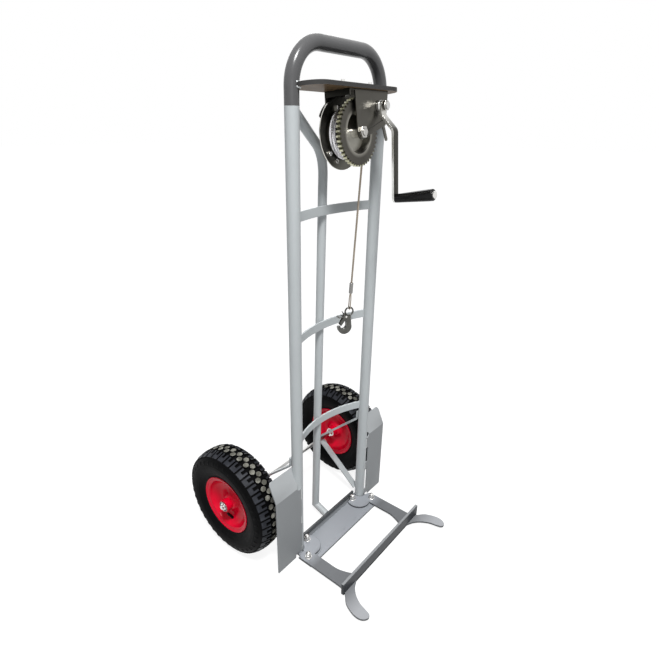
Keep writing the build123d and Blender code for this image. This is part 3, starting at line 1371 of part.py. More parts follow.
def hook():
    """A forged hook: a ring, a shank with a lug for the latch, and a bowl that opens to the left."""
    throat_x = -BOWL_SHIFT - THROAT_SHIFT
    throat_z = -BOWL_DROP + THROAT_RISE
    bowl = Pos(-BOWL_SHIFT, -BOWL_DROP) * Circle(BOWL_RADIUS)
    mouth = Pos(throat_x + THROAT_RADIUS - 2 * BOWL_RADIUS, throat_z + BOWL_RADIUS) * Rectangle(
        4 * BOWL_RADIUS, 2 * BOWL_RADIUS
    )
    shank = make_face(
        Polyline(
            (-SHANK_LEFT, -SHANK_TOP),
            (SHANK_RIGHT, -SHANK_TOP),
            (BOWL_RADIUS - BOWL_SHIFT, -BOWL_DROP),
            (throat_x + THROAT_RADIUS, throat_z),
            close=True,
        )
    )
    profile = (bowl - mouth) + shank + latch_pivot() * Circle(LATCH_LUG_RADIUS)
    profile = profile - Pos(throat_x, throat_z) * Circle(THROAT_RADIUS)
    body = through_hook(profile, 0, HOOK_THICKNESS / 2)
    eye_middle = EYE_RADIUS + EYE_WIRE / 2
    body = body - through_hook(Circle(eye_middle), 0, HOOK_THICKNESS)
    body = body - through_hook(latch_pivot() * Circle(LATCH_PIN_DIAMETER / 2), 0, HOOK_THICKNESS)
    return body + hook_plane() * Torus(eye_middle, EYE_WIRE / 2)


def latch_half():
    """Half the width of the latch across its two ears."""
    return HOOK_THICKNESS / 2 + LATCH_GAP + LATCH_SHEET


def latch_pin():
    """The rivet through the hook's shank that carries the latch."""
    end = latch_half() + LATCH_GAP
    pin = through_hook(latch_pivot() * Circle(LATCH_PIN_DIAMETER / 2), 0, end + LATCH_PIN_HEAD)
    return pin + through_hook(latch_pivot() * Circle(LATCH_PIN_DIAMETER / 2 + LATCH_PIN_HEAD), end, end + LATCH_PIN_HEAD)


def latch_arm(angle, length):
    """A narrow arm of the latch's ears, out from the pivot."""
    return Rot(0, 0, angle) * Pos(length / 2, 0) * Rectangle(length, FINGER_WIDTH)


def hook_latch():
    """A folded sheet latch: two ears on the lug, a tongue that meets the tip and a finger bar."""
    taper = make_face(
        Polyline(
            (0, -LATCH_EAR_RADIUS),
            (TONGUE_LENGTH, -LATCH_SHEET),
            (TONGUE_LENGTH, LATCH_SHEET),
            (0, LATCH_EAR_RADIUS),
            close=True,
        )
    )
    ear = Circle(LATCH_EAR_RADIUS) + Rot(0, 0, TONGUE_ANGLE) * taper
    ear = ear + latch_arm(SPUR_ANGLE, SPUR_LENGTH) + latch_arm(FINGER_ANGLE, FINGER_LENGTH)
    ear = ear - Circle(LATCH_PIN_DIAMETER / 2 + RUNNING_CLEARANCE)
    start = LATCH_EAR_RADIUS + LATCH_GAP
    sheet = Pos((start + TONGUE_LENGTH) / 2, 0) * Rectangle(TONGUE_LENGTH - start, LATCH_SHEET)
    knob = Rot(0, 0, FINGER_ANGLE) * Pos(FINGER_LENGTH, 0) * Circle(FINGER_WIDTH)
    bridge = Rot(0, 0, TONGUE_ANGLE) * sheet + knob
    half = latch_half()
    ears = through_hook(latch_pivot() * ear, half - LATCH_SHEET, half)
    return ears + through_hook(latch_pivot() * bridge, 0, half)


NODES = {
    "left_side_tube": lambda: side_tube(-1),
    "right_side_tube": lambda: side_tube(1),
    "handle_arch": handle_arch,
    "handle_spigots": handle_spigots,
    "winch_shelf": winch_shelf,
    "crossbar_upper": lambda: crossbar(UPPER_BAR_Z),
    "crossbar_middle": lambda: crossbar(MIDDLE_BAR_Z),
    "crossbar_lower": lambda: crossbar(LOWER_BAR_Z),
    "spine_tube": spine_tube,
    "spine_foot": spine_foot,
    "base_beam": base_beam,
    "left_fork": lambda: mirrored(fork()),
    "right_fork": fork,
    "fork_crossbar": fork_crossbar,
    "fork_bolts": fork_bolts,
    "fork_nuts": fork_nuts,
    "axle": axle,
    "axle_washers": axle_washers,
    "axle_collars": axle_collars,
    "split_pins": split_pins,
    "left_axle_bracket": lambda: mirrored(axle_bracket()),
    "right_axle_bracket": axle_bracket,
    "left_wheel_guard": lambda: mirrored(wheel_guard()),
    "right_wheel_guard": wheel_guard,
    "left_tyre": lambda: on_axle(tyre(), -1),
    "left_rim": lambda: on_axle(rim(), -1),
    "left_hub": lambda: on_axle(hub(), -1),
    "left_bearings": lambda: [on_axle(ring, -1) for ring in bearings()],
    "left_valve": lambda: on_axle(valve(), -1),
    "right_tyre": lambda: on_axle(tyre(), 1),
    "right_rim": lambda: on_axle(rim(), 1),
    "right_hub": lambda: on_axle(hub(), 1),
    "right_bearings": lambda: [on_axle(ring, 1) for ring in bearings()],
    "right_valve": lambda: on_axle(valve(), 1),
    "winch_frame": lambda: leaning(winch_frame()),
    "winch_bolts": lambda: leaning(winch_bolts()),
    "winch_nuts": lambda: leaning(winch_nuts()),
    "drum_shaft": lambda: leaning(drum_shaft()),
    "drum_shaft_nuts": lambda: leaning(drum_shaft_nuts()),
    "drum_spacers": lambda: leaning(drum_spacers()),
    "pawl_pin": lambda: leaning(pawl_pin()),
    "main_gear": lambda: leaning(main_gear()),
    "drum_core": lambda: leaning(drum_core()),
    "drum_flange": lambda: leaning(drum_flange()),
    "rope_winding": rope_winding,
    "rope_clamp": lambda: leaning(rope_clamp()),
    "pinion_shaft": lambda: leaning(pinion_shaft()),
    "crank_boss": lambda: leaning(crank_boss()),
    "ratchet_wheel": lambda: leaning(ratchet_wheel()),
    "crank_arm": lambda: leaning(crank_arm()),
    "crank_nut": lambda: leaning(crank_nut()),
    "grip_pin": lambda: leaning(grip_pin()),
    "crank_grip": lambda: leaning(crank_grip()),
    "pawl": lambda: leaning(pawl()),
    "hoist_rope": hoist_rope,
    "rope_ferrule": rope_ferrule,
    "rope_eye": rope_eye,
    "hook": hook,
    "latch_pin": latch_pin,
    "hook_latch": hook_latch,
}


def placed(shape):
    """A node's solids, shifted so that the origin lies under the middle of the cart."""
    solids = shape if isinstance(shape, list) else [shape]
    moved = [Pos(0, Y_SHIFT, 0) * solid for solid in solids]
    return moved[0] if len(moved) == 1 else Compound(children=moved)


def main():
    os.makedirs("parts", exist_ok=True)
    for name, build in NODES.items():
        export_step(placed(build()), "parts/" + name + ".step")


main()
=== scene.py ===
import bisect
import json
import math

import bmesh
import bpy
from mathutils import Matrix, Vector


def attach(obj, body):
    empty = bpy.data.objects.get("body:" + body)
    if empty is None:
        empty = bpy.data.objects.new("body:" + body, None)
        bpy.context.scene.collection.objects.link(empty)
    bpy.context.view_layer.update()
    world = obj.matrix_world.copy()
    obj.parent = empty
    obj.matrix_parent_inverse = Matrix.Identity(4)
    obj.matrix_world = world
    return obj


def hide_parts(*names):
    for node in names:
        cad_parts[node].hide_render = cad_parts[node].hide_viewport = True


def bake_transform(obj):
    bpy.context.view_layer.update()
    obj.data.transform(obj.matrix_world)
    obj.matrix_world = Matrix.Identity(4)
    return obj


# Carcass cart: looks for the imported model.
# Sizes are in millimetres of the part's own frame, except where a comment says metres.
# The scene is in metres.

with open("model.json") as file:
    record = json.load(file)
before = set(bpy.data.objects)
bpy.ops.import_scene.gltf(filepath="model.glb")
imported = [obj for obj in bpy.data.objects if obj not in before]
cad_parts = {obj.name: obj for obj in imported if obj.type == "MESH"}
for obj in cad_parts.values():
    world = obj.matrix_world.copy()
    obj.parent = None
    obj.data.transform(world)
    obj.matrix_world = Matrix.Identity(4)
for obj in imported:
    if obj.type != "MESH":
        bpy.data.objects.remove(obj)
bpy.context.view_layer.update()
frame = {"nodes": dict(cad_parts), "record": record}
NODES = frame["nodes"]

# Sizes repeated from the part's source
MM = 0.001
Y_SHIFT = -19.0
TILT = math.radians(5.0)
TILT_Y = -62.0
TILT_Z = 1192.0
TUBE_X = 150.0
TUBE_RADIUS = 15.0
AXLE_Y = 162.0
AXLE_Z = 158.0
WHEEL_X = 235.5
PIN_X = 281.8
BAR_LEVELS = (942.0, 651.0, 357.0)
BAR_END_Y = 9.5
BAR_HALF_HEIGHT = 11.0
BAR_HALF_THICKNESS = 2.5
FORK_Z = 12.0
BOLT_PLACES = ((-112.0, 0.0), (112.0, 0.0), (-157.0, -44.0), (157.0, -44.0))
GUARD_TABS = ((14.0, 32.0), (113.0, 140.0), (198.0, 235.0))
SHELF_Z = 1192.0
SHELF_TOP_Z = 1200.0
DRUM_X = 3.0
DRUM_Z = 1110.8
GEAR_FRONT_Y = -43.4
CRANK_X = 66.4
CRANK_Z = 1161.2
WINDING_RADIUS = 50.0
WINDING_PITCH = 6.4
WINDING_TURNS = 3.25
WINDING_END_Y = -20.8
ROPE_DIAMETER = 5.0
HOOK = (44.0, -10.0, 687.0)
FERRULE_RISE = 77.0

# Directions
UP = (0.0, 0.0, 1.0)
DOWN = (0.0, 0.0, -1.0)
LEFT = (-1.0, 0.0, 0.0)
RIGHT = (1.0, 0.0, 0.0)
FORWARD = (0.0, -1.0, 0.0)
BACK = (0.0, 1.0, 0.0)
WINCH_AXIS = (0.0, -math.cos(TILT), math.sin(TILT))


def place(x, y, z):
    """A point of the part's frame, in the scene."""
    return Vector((x, y + Y_SHIFT, z)) * MM


def lean(x, y, z):
    """A point of the winch as it is before it leans, in the scene."""
    across = y - TILT_Y
    above = z - TILT_Z
    turned_y = TILT_Y + across * math.cos(TILT) + above * math.sin(TILT)
    turned_z = TILT_Z - across * math.sin(TILT) + above * math.cos(TILT)
    return place(x, turned_y, turned_z)


# Node helpers
def new_material(name):
    """An empty material with its tree and its shader."""
    material = bpy.data.materials.new(name)
    material.use_nodes = True
    tree = material.node_tree
    shader = tree.nodes["Principled BSDF"]
    return material, tree, shader


def node(tree, kind, **settings):
    """A new node with its settings."""
    made = tree.nodes.new(kind)
    for key, value in settings.items():
        setattr(made, key, value)
    return made


def noise(tree, scale, detail=4.0, rough=0.55, stretch=None):
    """A noise texture in object space."""
    coordinates = node(tree, "ShaderNodeTexCoord")
    source = coordinates.outputs["Object"]
    if stretch:
        mapping = node(tree, "ShaderNodeMapping")
        mapping.inputs["Scale"].default_value = stretch
        tree.links.new(source, mapping.inputs["Vector"])
        source = mapping.outputs["Vector"]
    made = node(tree, "ShaderNodeTexNoise")
    made.inputs["Scale"].default_value = scale
    made.inputs["Detail"].default_value = detail
    made.inputs["Roughness"].default_value = rough
    tree.links.new(source, made.inputs["Vector"])
    return made.outputs["Fac"]


def ramp(tree, source, stops):
    """A colour ramp with stops of (position, colour)."""
    made = node(tree, "ShaderNodeValToRGB")
    elements = made.color_ramp.elements
    while len(elements) < len(stops):
        elements.new(0.5)
    for element, (position, colour) in zip(elements, stops):
        element.position = position
        element.color = (*colour, 1.0)
    tree.links.new(source, made.inputs["Fac"])
    return made.outputs["Color"]


def mask(tree, source, low, high):
    """A value that goes from 0 at low to 1 at high."""
    made = node(tree, "ShaderNodeMapRange")
    made.inputs["From Min"].default_value = low
    made.inputs["From Max"].default_value = high
    tree.links.new(source, made.inputs["Value"])
    return made.outputs["Result"]


def spread(tree, source, low, high):
    """A value stretched from 0..1 to low..high."""
    made = node(tree, "ShaderNodeMapRange")
    made.inputs["To Min"].default_value = low
    made.inputs["To Max"].default_value = high
    tree.links.new(source, made.inputs["Value"])
    return made.outputs["Result"]


def times(tree, first, second):
    """The product of two values; each is a socket, or a plain number."""
    made = node(tree, "ShaderNodeMath", operation="MULTIPLY", use_clamp=True)
    for index, value in enumerate((first, second)):
        if isinstance(value, float):
            made.inputs[index].default_value = value
        else:
            tree.links.new(value, made.inputs[index])
    return made.outputs[0]


def mix(tree, factor, first, second):
    """A colour mix; each colour is a socket, or a plain colour."""
    made = node(tree, "ShaderNodeMix", data_type="RGBA")
    for index, value in ((6, first), (7, second)):
        if isinstance(value, tuple):
            made.inputs[index].default_value = (*value, 1.0)
        else:
            tree.links.new(value, made.inputs[index])
    tree.links.new(factor, made.inputs["Factor"])
    return made.outputs[2]


def layered(tree, base, layers):
    """A colour with further colours over it, each where its own mask says."""
    for colour, where in layers:
        base = mix(tree, where(tree), base, colour)
    return base


def bump(tree, shader, height, strength, distance):
    """Raises the surface a little by a texture."""
    made = node(tree, "ShaderNodeBump")
    made.inputs["Strength"].default_value = strength
    made.inputs["Distance"].default_value = distance
    tree.links.new(height, made.inputs["Height"])
    tree.links.new(made.outputs["Normal"], shader.inputs["Normal"])


def set_colour(tree, shader, colour):
    """Gives a shader its colour."""
    tree.links.new(colour, shader.inputs["Base Color"])


def set_rough(tree, shader, source, rough, varies):
    """Gives a shader a roughness that varies with a texture or a mask."""
    low, high = varies
    tree.links.new(spread(tree, source, rough + low, rough + high), shader.inputs["Roughness"])


# Masks; lengths are in metres, and each pair of values is where a mask is 0 and where it is 1
WORN_RADIUS = 0.0016
WORN_COSINE = (0.995, 0.88)
WORN_SCALE = 60.0
WORN_PATCHES = (0.42, 0.60)
LEVEL_COSINE = (0.6, 0.9)
FLAP_COSINE = (0.2, 0.4)
LIP_COSINE = (0.7, 0.95)
EDGE_COSINE = (0.35, 0.10)


def worn_edges(tree):
    """A mask that is white along sharp edges, broken up by noise."""
    rounded = node(tree, "ShaderNodeBevel", samples=4)
    rounded.inputs["Radius"].default_value = WORN_RADIUS
    plain = node(tree, "ShaderNodeNewGeometry")
    likeness = node(tree, "ShaderNodeVectorMath", operation="DOT_PRODUCT")
    tree.links.new(rounded.outputs["Normal"], likeness.inputs[0])
    tree.links.new(plain.outputs["Normal"], likeness.inputs[1])
    edge = mask(tree, likeness.outputs["Value"], *WORN_COSINE)
    broken = mask(tree, noise(tree, WORN_SCALE), *WORN_PATCHES)
    return times(tree, edge, broken)


def face_cosine(tree, direction):
    """The cosine between each face and a direction."""
    geometry = node(tree, "ShaderNodeNewGeometry")
    likeness = node(tree, "ShaderNodeVectorMath", operation="DOT_PRODUCT")
    likeness.inputs[1].default_value = direction
    tree.links.new(geometry.outputs["True Normal"], likeness.inputs[0])
    return likeness.outputs["Value"]


def facing(tree, direction, low, high):
    """A mask of the faces that look in a direction: 0 at the low cosine, 1 at the high one."""
    return mask(tree, face_cosine(tree, direction), low, high)


def between(tree, axis, start, end):
    """A mask that goes from 0 to 1 between two places along an axis of object space, in metres."""
    coordinates = node(tree, "ShaderNodeTexCoord")
    reach = node(tree, "ShaderNodeVectorMath", operation="DOT_PRODUCT")
    reach.inputs[1].default_value = axis
    tree.links.new(coordinates.outputs["Object"], reach.inputs[0])
    return mask(tree, reach.outputs["Value"], start, end)


def from_axis(tree, point, axis):
    """Distance from an axis in object space, in metres."""
    coordinates = node(tree, "ShaderNodeTexCoord")
    offset = node(tree, "ShaderNodeVectorMath", operation="SUBTRACT")
    offset.inputs[1].default_value = point
    tree.links.new(coordinates.outputs["Object"], offset.inputs[0])
    across = node(tree, "ShaderNodeVectorMath", operation="CROSS_PRODUCT")
    across.inputs[1].default_value = axis
    tree.links.new(offset.outputs[0], across.inputs[0])
    length = node(tree, "ShaderNodeVectorMath", operation="LENGTH")
    tree.links.new(across.outputs[0], length.inputs[0])
    return length.outputs["Value"]


# Where the finishes, the painted light and the painted shade change, in metres
GEAR_TEETH = (0.0585, 0.0605)
GEAR_GAP_SHADE = (0.0660, 0.0630)
GEAR_DISH = (0.050, 0.040)
CRANK_HEAD = (0.046, 0.022)
LIP_HEIGHT = (1.168, 1.172)
HORN_REACH = (0.19, 0.27)
PAD_REACH = (-0.10, -0.06)
PLATE_DEPTH = (-0.014, -0.009)
WASHER_INSIDE = (0.0095, 0.0102)
WASHER_OUTSIDE = (0.0150, 0.0143)


def up_face(tree):
    """The faces that look up; the paler colours laid over them are painted light."""
    return facing(tree, UP, *LEVEL_COSINE)


def down_face(tree):
    """The faces that look down; the brown laid over them on the shelf is a painted reflection."""
    return facing(tree, DOWN, *LEVEL_COSINE)


def edge_on(tree):
    """The faces that turn away from the winch's axis, such as a flat bar's edges: painted highlight on
    the crank and flange, yellow plating on the gear.
    """
    size = node(tree, "ShaderNodeMath", operation="ABSOLUTE")
    tree.links.new(face_cosine(tree, WINCH_AXIS), size.inputs[0])
    return mask(tree, size.outputs[0], *EDGE_COSINE)


def crank_head_highlight(tree):
    """The crank's upper end round its boss, which gets a pale painted highlight."""
    return mask(tree, from_axis(tree, lean(CRANK_X, GEAR_FRONT_Y, CRANK_Z), WINCH_AXIS), *CRANK_HEAD)


def bent_flap_painted_light(tree):
    """The guards' tops, which lean back; their paler colour is painted light."""
    return facing(tree, UP, *FLAP_COSINE)


def lip_painted_shade(tree):
    """The winch frame's turned-down lip under the shelf, darkened by painted shade."""
    return times(tree, facing(tree, LEFT, *LIP_COSINE), between(tree, UP, *LIP_HEIGHT))


def horn_top(tree):
    """The horns' upper side, paler towards the tips."""
    return times(tree, up_face(tree), between(tree, FORWARD, *HORN_REACH))


def pad_top(tree):
    """The round pads at the rear of the forks, paler than the arms."""
    return times(tree, up_face(tree), between(tree, BACK, *PAD_REACH))


def plate_top(tree):
    """The base plate's upper side, without the edge of its upstand; its paler colour is painted light."""
    return times(tree, up_face(tree), between(tree, DOWN, *PLATE_DEPTH))


def washer_ring(tree):
    """A dark ring on each washer, between its rim and its bore."""
    distance = from_axis(tree, place(0, AXLE_Y, AXLE_Z), RIGHT)
    return times(tree, mask(tree, distance, *WASHER_INSIDE), mask(tree, distance, *WASHER_OUTSIDE))


# Materials; texture scales are in features per metre, and a bump has a strength and a distance in metres
PAINT_CLOUDS = 6.0
PAINT_SHEEN = 24.0
PAINT_PEEL = 520.0
PAINT_BUMP = (0.08, 0.0004)
PAINT_VARIES = (-0.05, 0.07)
RUBBED_SHARE = 0.7
RUBBED_GREY = 0.12
METAL_SCRATCHES = 260.0
METAL_DEPTH = 0.0003
METAL_SHADE = 0.84
GEAR_BLOTCHES = 30.0
PLATING_BLOTCHES = 160.0
GEAR_SWIRL = 300.0
GEAR_BUMP = (0.03, 0.0003)
GEAR_ROUGH = (0.38, 0.34)
RUBBER_DUST = 38.0
RUBBER_PATCH = (0.62, 0.80)
RUBBER_SHEEN = 90.0
RUBBER_GRAIN = 420.0
RUBBER_BUMP = (0.16, 0.0005)
RUBBER_VARIES = (-0.10, 0.14)
GLOSS_CLOUDS = 14.0
GLOSS_SHEEN = 60.0
GLOSS_MARKS = 300.0
GLOSS_BUMP = (0.04, 0.0003)
GLOSS_VARIES = (-0.04, 0.08)
GLOSS_SHADE = 0.86
GRAIN_ALONG_Z = (1.0, 1.0, 0.06)


def powder_coat(name, colour, rough=0.42, clouds=0.03, specular=0.2, wear=0.6, layers=()):
    """Stove-baked paint: orange peel, faint clouding and rubbed edges."""
    material, tree, shader = new_material(name)
    dark = tuple(value * (1 - clouds) for value in colour)
    light = tuple(min(1.0, value * (1 + clouds)) for value in colour)
    rubbed = tuple(RUBBED_SHARE * value + RUBBED_GREY for value in colour)
    clouded = ramp(tree, noise(tree, PAINT_CLOUDS, 5.0), [(0.3, dark), (0.7, light)])
    base = layered(tree, clouded, layers)
    worn = times(tree, worn_edges(tree), wear)
    set_colour(tree, shader, mix(tree, worn, base, rubbed))
    set_rough(tree, shader, noise(tree, PAINT_SHEEN), rough, PAINT_VARIES)
    shader.inputs["Specular IOR Level"].default_value = specular
    bump(tree, shader, noise(tree, PAINT_PEEL, 2.0), *PAINT_BUMP)
    return material


def bare_metal(
    name, colour, rough=0.26, tint=None, grain=None, blotch=70.0, layers=(), marks=0.06, vary=0.08
):
    """Plated or forged steel with soft blotches and fine scratches."""
    material, tree, shader = new_material(name)
    shader.inputs["Metallic"].default_value = 1.0
    other = tint or tuple(value * METAL_SHADE for value in colour)
    blotched = ramp(tree, noise(tree, blotch, 6.0), [(0.25, other), (0.75, colour)])
    set_colour(tree, shader, layered(tree, blotched, layers))
    scratch = noise(tree, METAL_SCRATCHES, 3.0, 0.7, grain)
    set_rough(tree, shader, scratch, rough, (-vary, 1.5 * vary))
    bump(tree, shader, scratch, marks, METAL_DEPTH)
    return material


def gear_metal(name):
    """Teeth plated yellow with painted shade in their gaps, round a smooth grey face and a dish
    brightened by a painted reflection.
    """
    material, tree, shader = new_material(name)
    shader.inputs["Metallic"].default_value = 1.0
    distance = from_axis(tree, lean(DRUM_X, GEAR_FRONT_Y, DRUM_Z), WINCH_AXIS)
    teeth = times(tree, mask(tree, distance, *GEAR_TEETH), edge_on(tree))
    dish = mask(tree, distance, *GEAR_DISH)
    shades = [(0.25, (0.074, 0.070, 0.060)), (0.75, (0.094, 0.088, 0.077))]
    face = ramp(tree, noise(tree, GEAR_BLOTCHES, 4.0), shades)
    yellows = [(0.35, (0.34, 0.33, 0.20)), (0.65, (0.84, 0.83, 0.66))]
    plating = ramp(tree, noise(tree, PLATING_BLOTCHES, 4.0), yellows)
    # The dark colour at the teeth's roots is painted shade.
    gap_shade = (0.085, 0.082, 0.052)
    flank = mix(tree, mask(tree, distance, *GEAR_GAP_SHADE), plating, gap_shade)
    # The dish's brighter colour is a painted reflection.
    bright = (0.36, 0.35, 0.31)
    inner = mix(tree, dish, face, bright)
    set_colour(tree, shader, mix(tree, teeth, inner, flank))
    set_rough(tree, shader, dish, 0.0, GEAR_ROUGH)
    bump(tree, shader, noise(tree, GEAR_SWIRL, 3.0, 0.7), *GEAR_BUMP)
    return material


def rubber(name, colour, dust, dust_share, rough=0.5, specular=0.12):
    """Moulded rubber with dust in patches."""
    material, tree, shader = new_material(name)
    low, high = RUBBER_PATCH
    patch = mask(tree, noise(tree, RUBBER_DUST, 6.0, 0.65), low - dust_share, high)
    set_colour(tree, shader, mix(tree, patch, colour, dust))
    set_rough(tree, shader, noise(tree, RUBBER_SHEEN), rough, RUBBER_VARIES)
    shader.inputs["Specular IOR Level"].default_value = specular
    bump(tree, shader, noise(tree, RUBBER_GRAIN, 3.0), *RUBBER_BUMP)
    return material


def gloss(name, colour, rough=0.2, specular=0.25):
    """Smooth gloss paint or plastic with faint marks."""
    material, tree, shader = new_material(name)
    shade = tuple(value * GLOSS_SHADE for value in colour)
    set_colour(tree, shader, ramp(tree, noise(tree, GLOSS_CLOUDS), [(0.3, shade), (0.7, colour)]))
    set_rough(tree, shader, noise(tree, GLOSS_SHEEN, 5.0), rough, GLOSS_VARIES)
    shader.inputs["Specular IOR Level"].default_value = specular
    bump(tree, shader, noise(tree, GLOSS_MARKS, 2.0), *GLOSS_BUMP)
    return material


# One finish for each slot of the record
MATERIALS = {
    "frame_grey": powder_coat("frame_grey", (0.57, 0.605, 0.615), 0.33, specular=0.26),
    "dark_grey": powder_coat("dark_grey", (0.095, 0.095, 0.097), 0.22, specular=0.4, wear=0.35),
    "guard_grey": powder_coat(
        "guard_grey",
        (0.34, 0.355, 0.365),
        0.46,
        # The paler colour on the guards' tops is painted light.
        layers=[((0.50, 0.52, 0.53), bent_flap_painted_light)],
    ),
    "zinc": bare_metal("zinc", (0.80, 0.79, 0.77), 0.20),
    "winch_steel": bare_metal(
        "winch_steel",
        (0.09, 0.086, 0.075),
        0.30,
        (0.074, 0.070, 0.061),
        blotch=18.0,
        # The near-black lip under the shelf is painted shade.
        layers=[((0.016, 0.016, 0.014), lip_painted_shade)],
        marks=0.02,
        vary=0.03,
    ),
    "gear_zinc": gear_metal("gear_zinc"),
    "steel": bare_metal("steel", (0.66, 0.66, 0.65), 0.28),
    "rope_wire": bare_metal("rope_wire", (0.86, 0.85, 0.87), 0.26),
    "tyre": rubber("tyre", (0.003, 0.0031, 0.0034), (0.008, 0.008, 0.009), 0.08, specular=0.04),
    "rim_red": gloss("rim_red", (0.88, 0.0025, 0.036), 0.16, 0.11),
    "valve_black": rubber("valve_black", (0.004, 0.004, 0.004), (0.012, 0.012, 0.012), 0.05),
    "grip_black": gloss("grip_black", (0.002, 0.002, 0.0024), 0.2, 0.2),
}

# Finishes that differ from the rest of their slot
TREAD_TOP = rubber("tread_top", (0.13, 0.127, 0.108), (0.60, 0.59, 0.52), 0.18, 0.62)
# The lug tops' lighter, bluish colour, dust included, is a painted sheen.
LUG_TOP_SHEEN = rubber("lug_top_sheen", (0.022, 0.024, 0.030), (0.060, 0.064, 0.075), 0.18, 0.45)
HANGING_ROPE = bare_metal("hanging_rope", (0.42, 0.37, 0.31), 0.40, (0.24, 0.20, 0.16), blotch=400.0)
FORGED = bare_metal("forged", (0.125, 0.125, 0.117), 0.24, (0.075, 0.075, 0.069), blotch=90.0)
FERRULE_STEEL = bare_metal("ferrule_steel", (0.28, 0.275, 0.265), 0.20)
NUT_STEEL = bare_metal("nut_steel", (0.50, 0.49, 0.47), 0.16)
DARK_RINGED_WASHER = bare_metal("dark_ringed_washer", (0.80, 0.79, 0.77), 0.20, layers=[((0.05, 0.05, 0.05), washer_ring)])
WELD = bare_metal("weld", (0.52, 0.54, 0.54), 0.36)
# Dark steel with a pale painted highlight on its head and its edges.
CRANK_STEEL = bare_metal(
    "crank_steel",
    (0.045, 0.043, 0.037),
    0.26,
    grain=GRAIN_ALONG_Z,
    layers=[((0.55, 0.54, 0.51), crank_head_highlight), ((0.92, 0.92, 0.89), edge_on)],
    marks=0.02,
)
# Painted shade on the forks' sides and painted light on their tops; the horns and pads are paler still.
TOE_PAINT = powder_coat(
    "toe_paint",
    (0.07, 0.075, 0.082),
    0.34,
    0.06,
    0.3,
    wear=0.3,
    layers=[
        ((0.185, 0.192, 0.202), up_face),
        ((0.47, 0.48, 0.50), horn_top),
        ((0.40, 0.42, 0.452), pad_top),
    ],
)
# Painted shade on the base's sides and upstand, painted light on its plate's top.
BASE_STEEL = powder_coat(
    "base_steel",
    (0.10, 0.107, 0.112),
    0.32,
    0.10,
    0.35,
    layers=[((0.40, 0.423, 0.455), plate_top)],
)
# Painted shade on the toe bar's front and painted light on its top.
BAR_PAINT = powder_coat(
    "bar_paint",
    (0.036, 0.040, 0.046),
    0.36,
    specular=0.16,
    layers=[((0.37, 0.38, 0.39), up_face)],
)
# Dark paint with a brown painted reflection on the faces that look down.
SHELF_PAINT = powder_coat(
    "shelf_paint",
    (0.062, 0.061, 0.060),
    0.40,
    specular=0.04,
    wear=0.35,
    layers=[((0.16, 0.105, 0.058), down_face)],
)


def dark_steel(name, layers=()):
    """Oiled steel of the drum and the ratchet."""
    light = (0.13, 0.128, 0.112)
    dark = (0.10, 0.098, 0.086)
    return bare_metal(name, light, 0.34, dark, blotch=20.0, layers=layers, marks=0.01, vary=0.02)


DARK_STEEL = dark_steel("dark_steel")
# The flange's rim carries a pale painted highlight.
FLANGE_STEEL = dark_steel("flange_steel", [((0.66, 0.65, 0.60), edge_on)])
SPECIAL = {
    "base_beam": BASE_STEEL,
    "winch_shelf": SHELF_PAINT,
    "crank_arm": CRANK_STEEL,
    "crank_boss": MATERIALS["steel"],
    "pinion_shaft": MATERIALS["steel"],
    "drum_spacers": MATERIALS["zinc"],
    "drum_shaft_nuts": NUT_STEEL,
    "drum_shaft": NUT_STEEL,
    "crank_nut": NUT_STEEL,
    "drum_flange": FLANGE_STEEL,
    "drum_core": DARK_STEEL,
    "pawl": DARK_STEEL,
    "ratchet_wheel": DARK_STEEL,
    "hook": FORGED,
    "hook_latch": FORGED,
    "rope_ferrule": FERRULE_STEEL,
    "rope_eye": HANGING_ROPE,
    "axle_washers": DARK_RINGED_WASHER,
    "left_hub": MATERIALS["rim_red"],
    "right_hub": MATERIALS["rim_red"],
}

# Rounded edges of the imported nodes
EDGES = {
    "base_beam": 0.8,
    "winch_shelf": 1.0,
    "winch_frame": 0.5,
    "crossbar_upper": 0.7,
    "crossbar_middle": 0.7,
    "crossbar_lower": 0.7,
    "left_axle_bracket": 0.7,
    "right_axle_bracket": 0.7,
    "left_wheel_guard": 0.5,
    "right_wheel_guard": 0.5,
    "crank_arm": 1.2,
    "crank_boss": 0.8,
    "crank_nut": 0.6,
    "drum_shaft_nuts": 0.8,
    "drum_flange": 0.5,
    "winch_nuts": 0.5,
    "axle_washers": 0.5,
    "axle_collars": 0.8,
    "hook": 1.6,
    "hook_latch": 0.4,
    "pawl": 0.5,
    "rope_clamp": 0.8,
}
SHARP_DEGREES = 40
SAME_POINT = 0.01


def dress_nodes():
    """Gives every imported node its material, and some of them rounded edges."""
    slots = {entry["node"]: entry["material_slot"] for entry in frame["record"]["subparts"]}
    for name, item in NODES.items():
        item.data.materials.clear()
        item.data.materials.append(SPECIAL.get(name, MATERIALS[slots[name]]))
    for name, width in EDGES.items():
        item = NODES[name]
        joined = item.modifiers.new("weld", "WELD")
        joined.merge_threshold = SAME_POINT * MM
        edge = item.modifiers.new("edge", "BEVEL")
        edge.width = width * MM
        edge.segments = 2
        edge.limit_method = "ANGLE"
        edge.angle_limit = math.radians(SHARP_DEGREES)
        edge.use_clamp_overlap = True
        item.modifiers.new("normals", "WEIGHTED_NORMAL")


# Mesh helpers
MITRE_LIMIT = 0.3
TINY = 1e-9


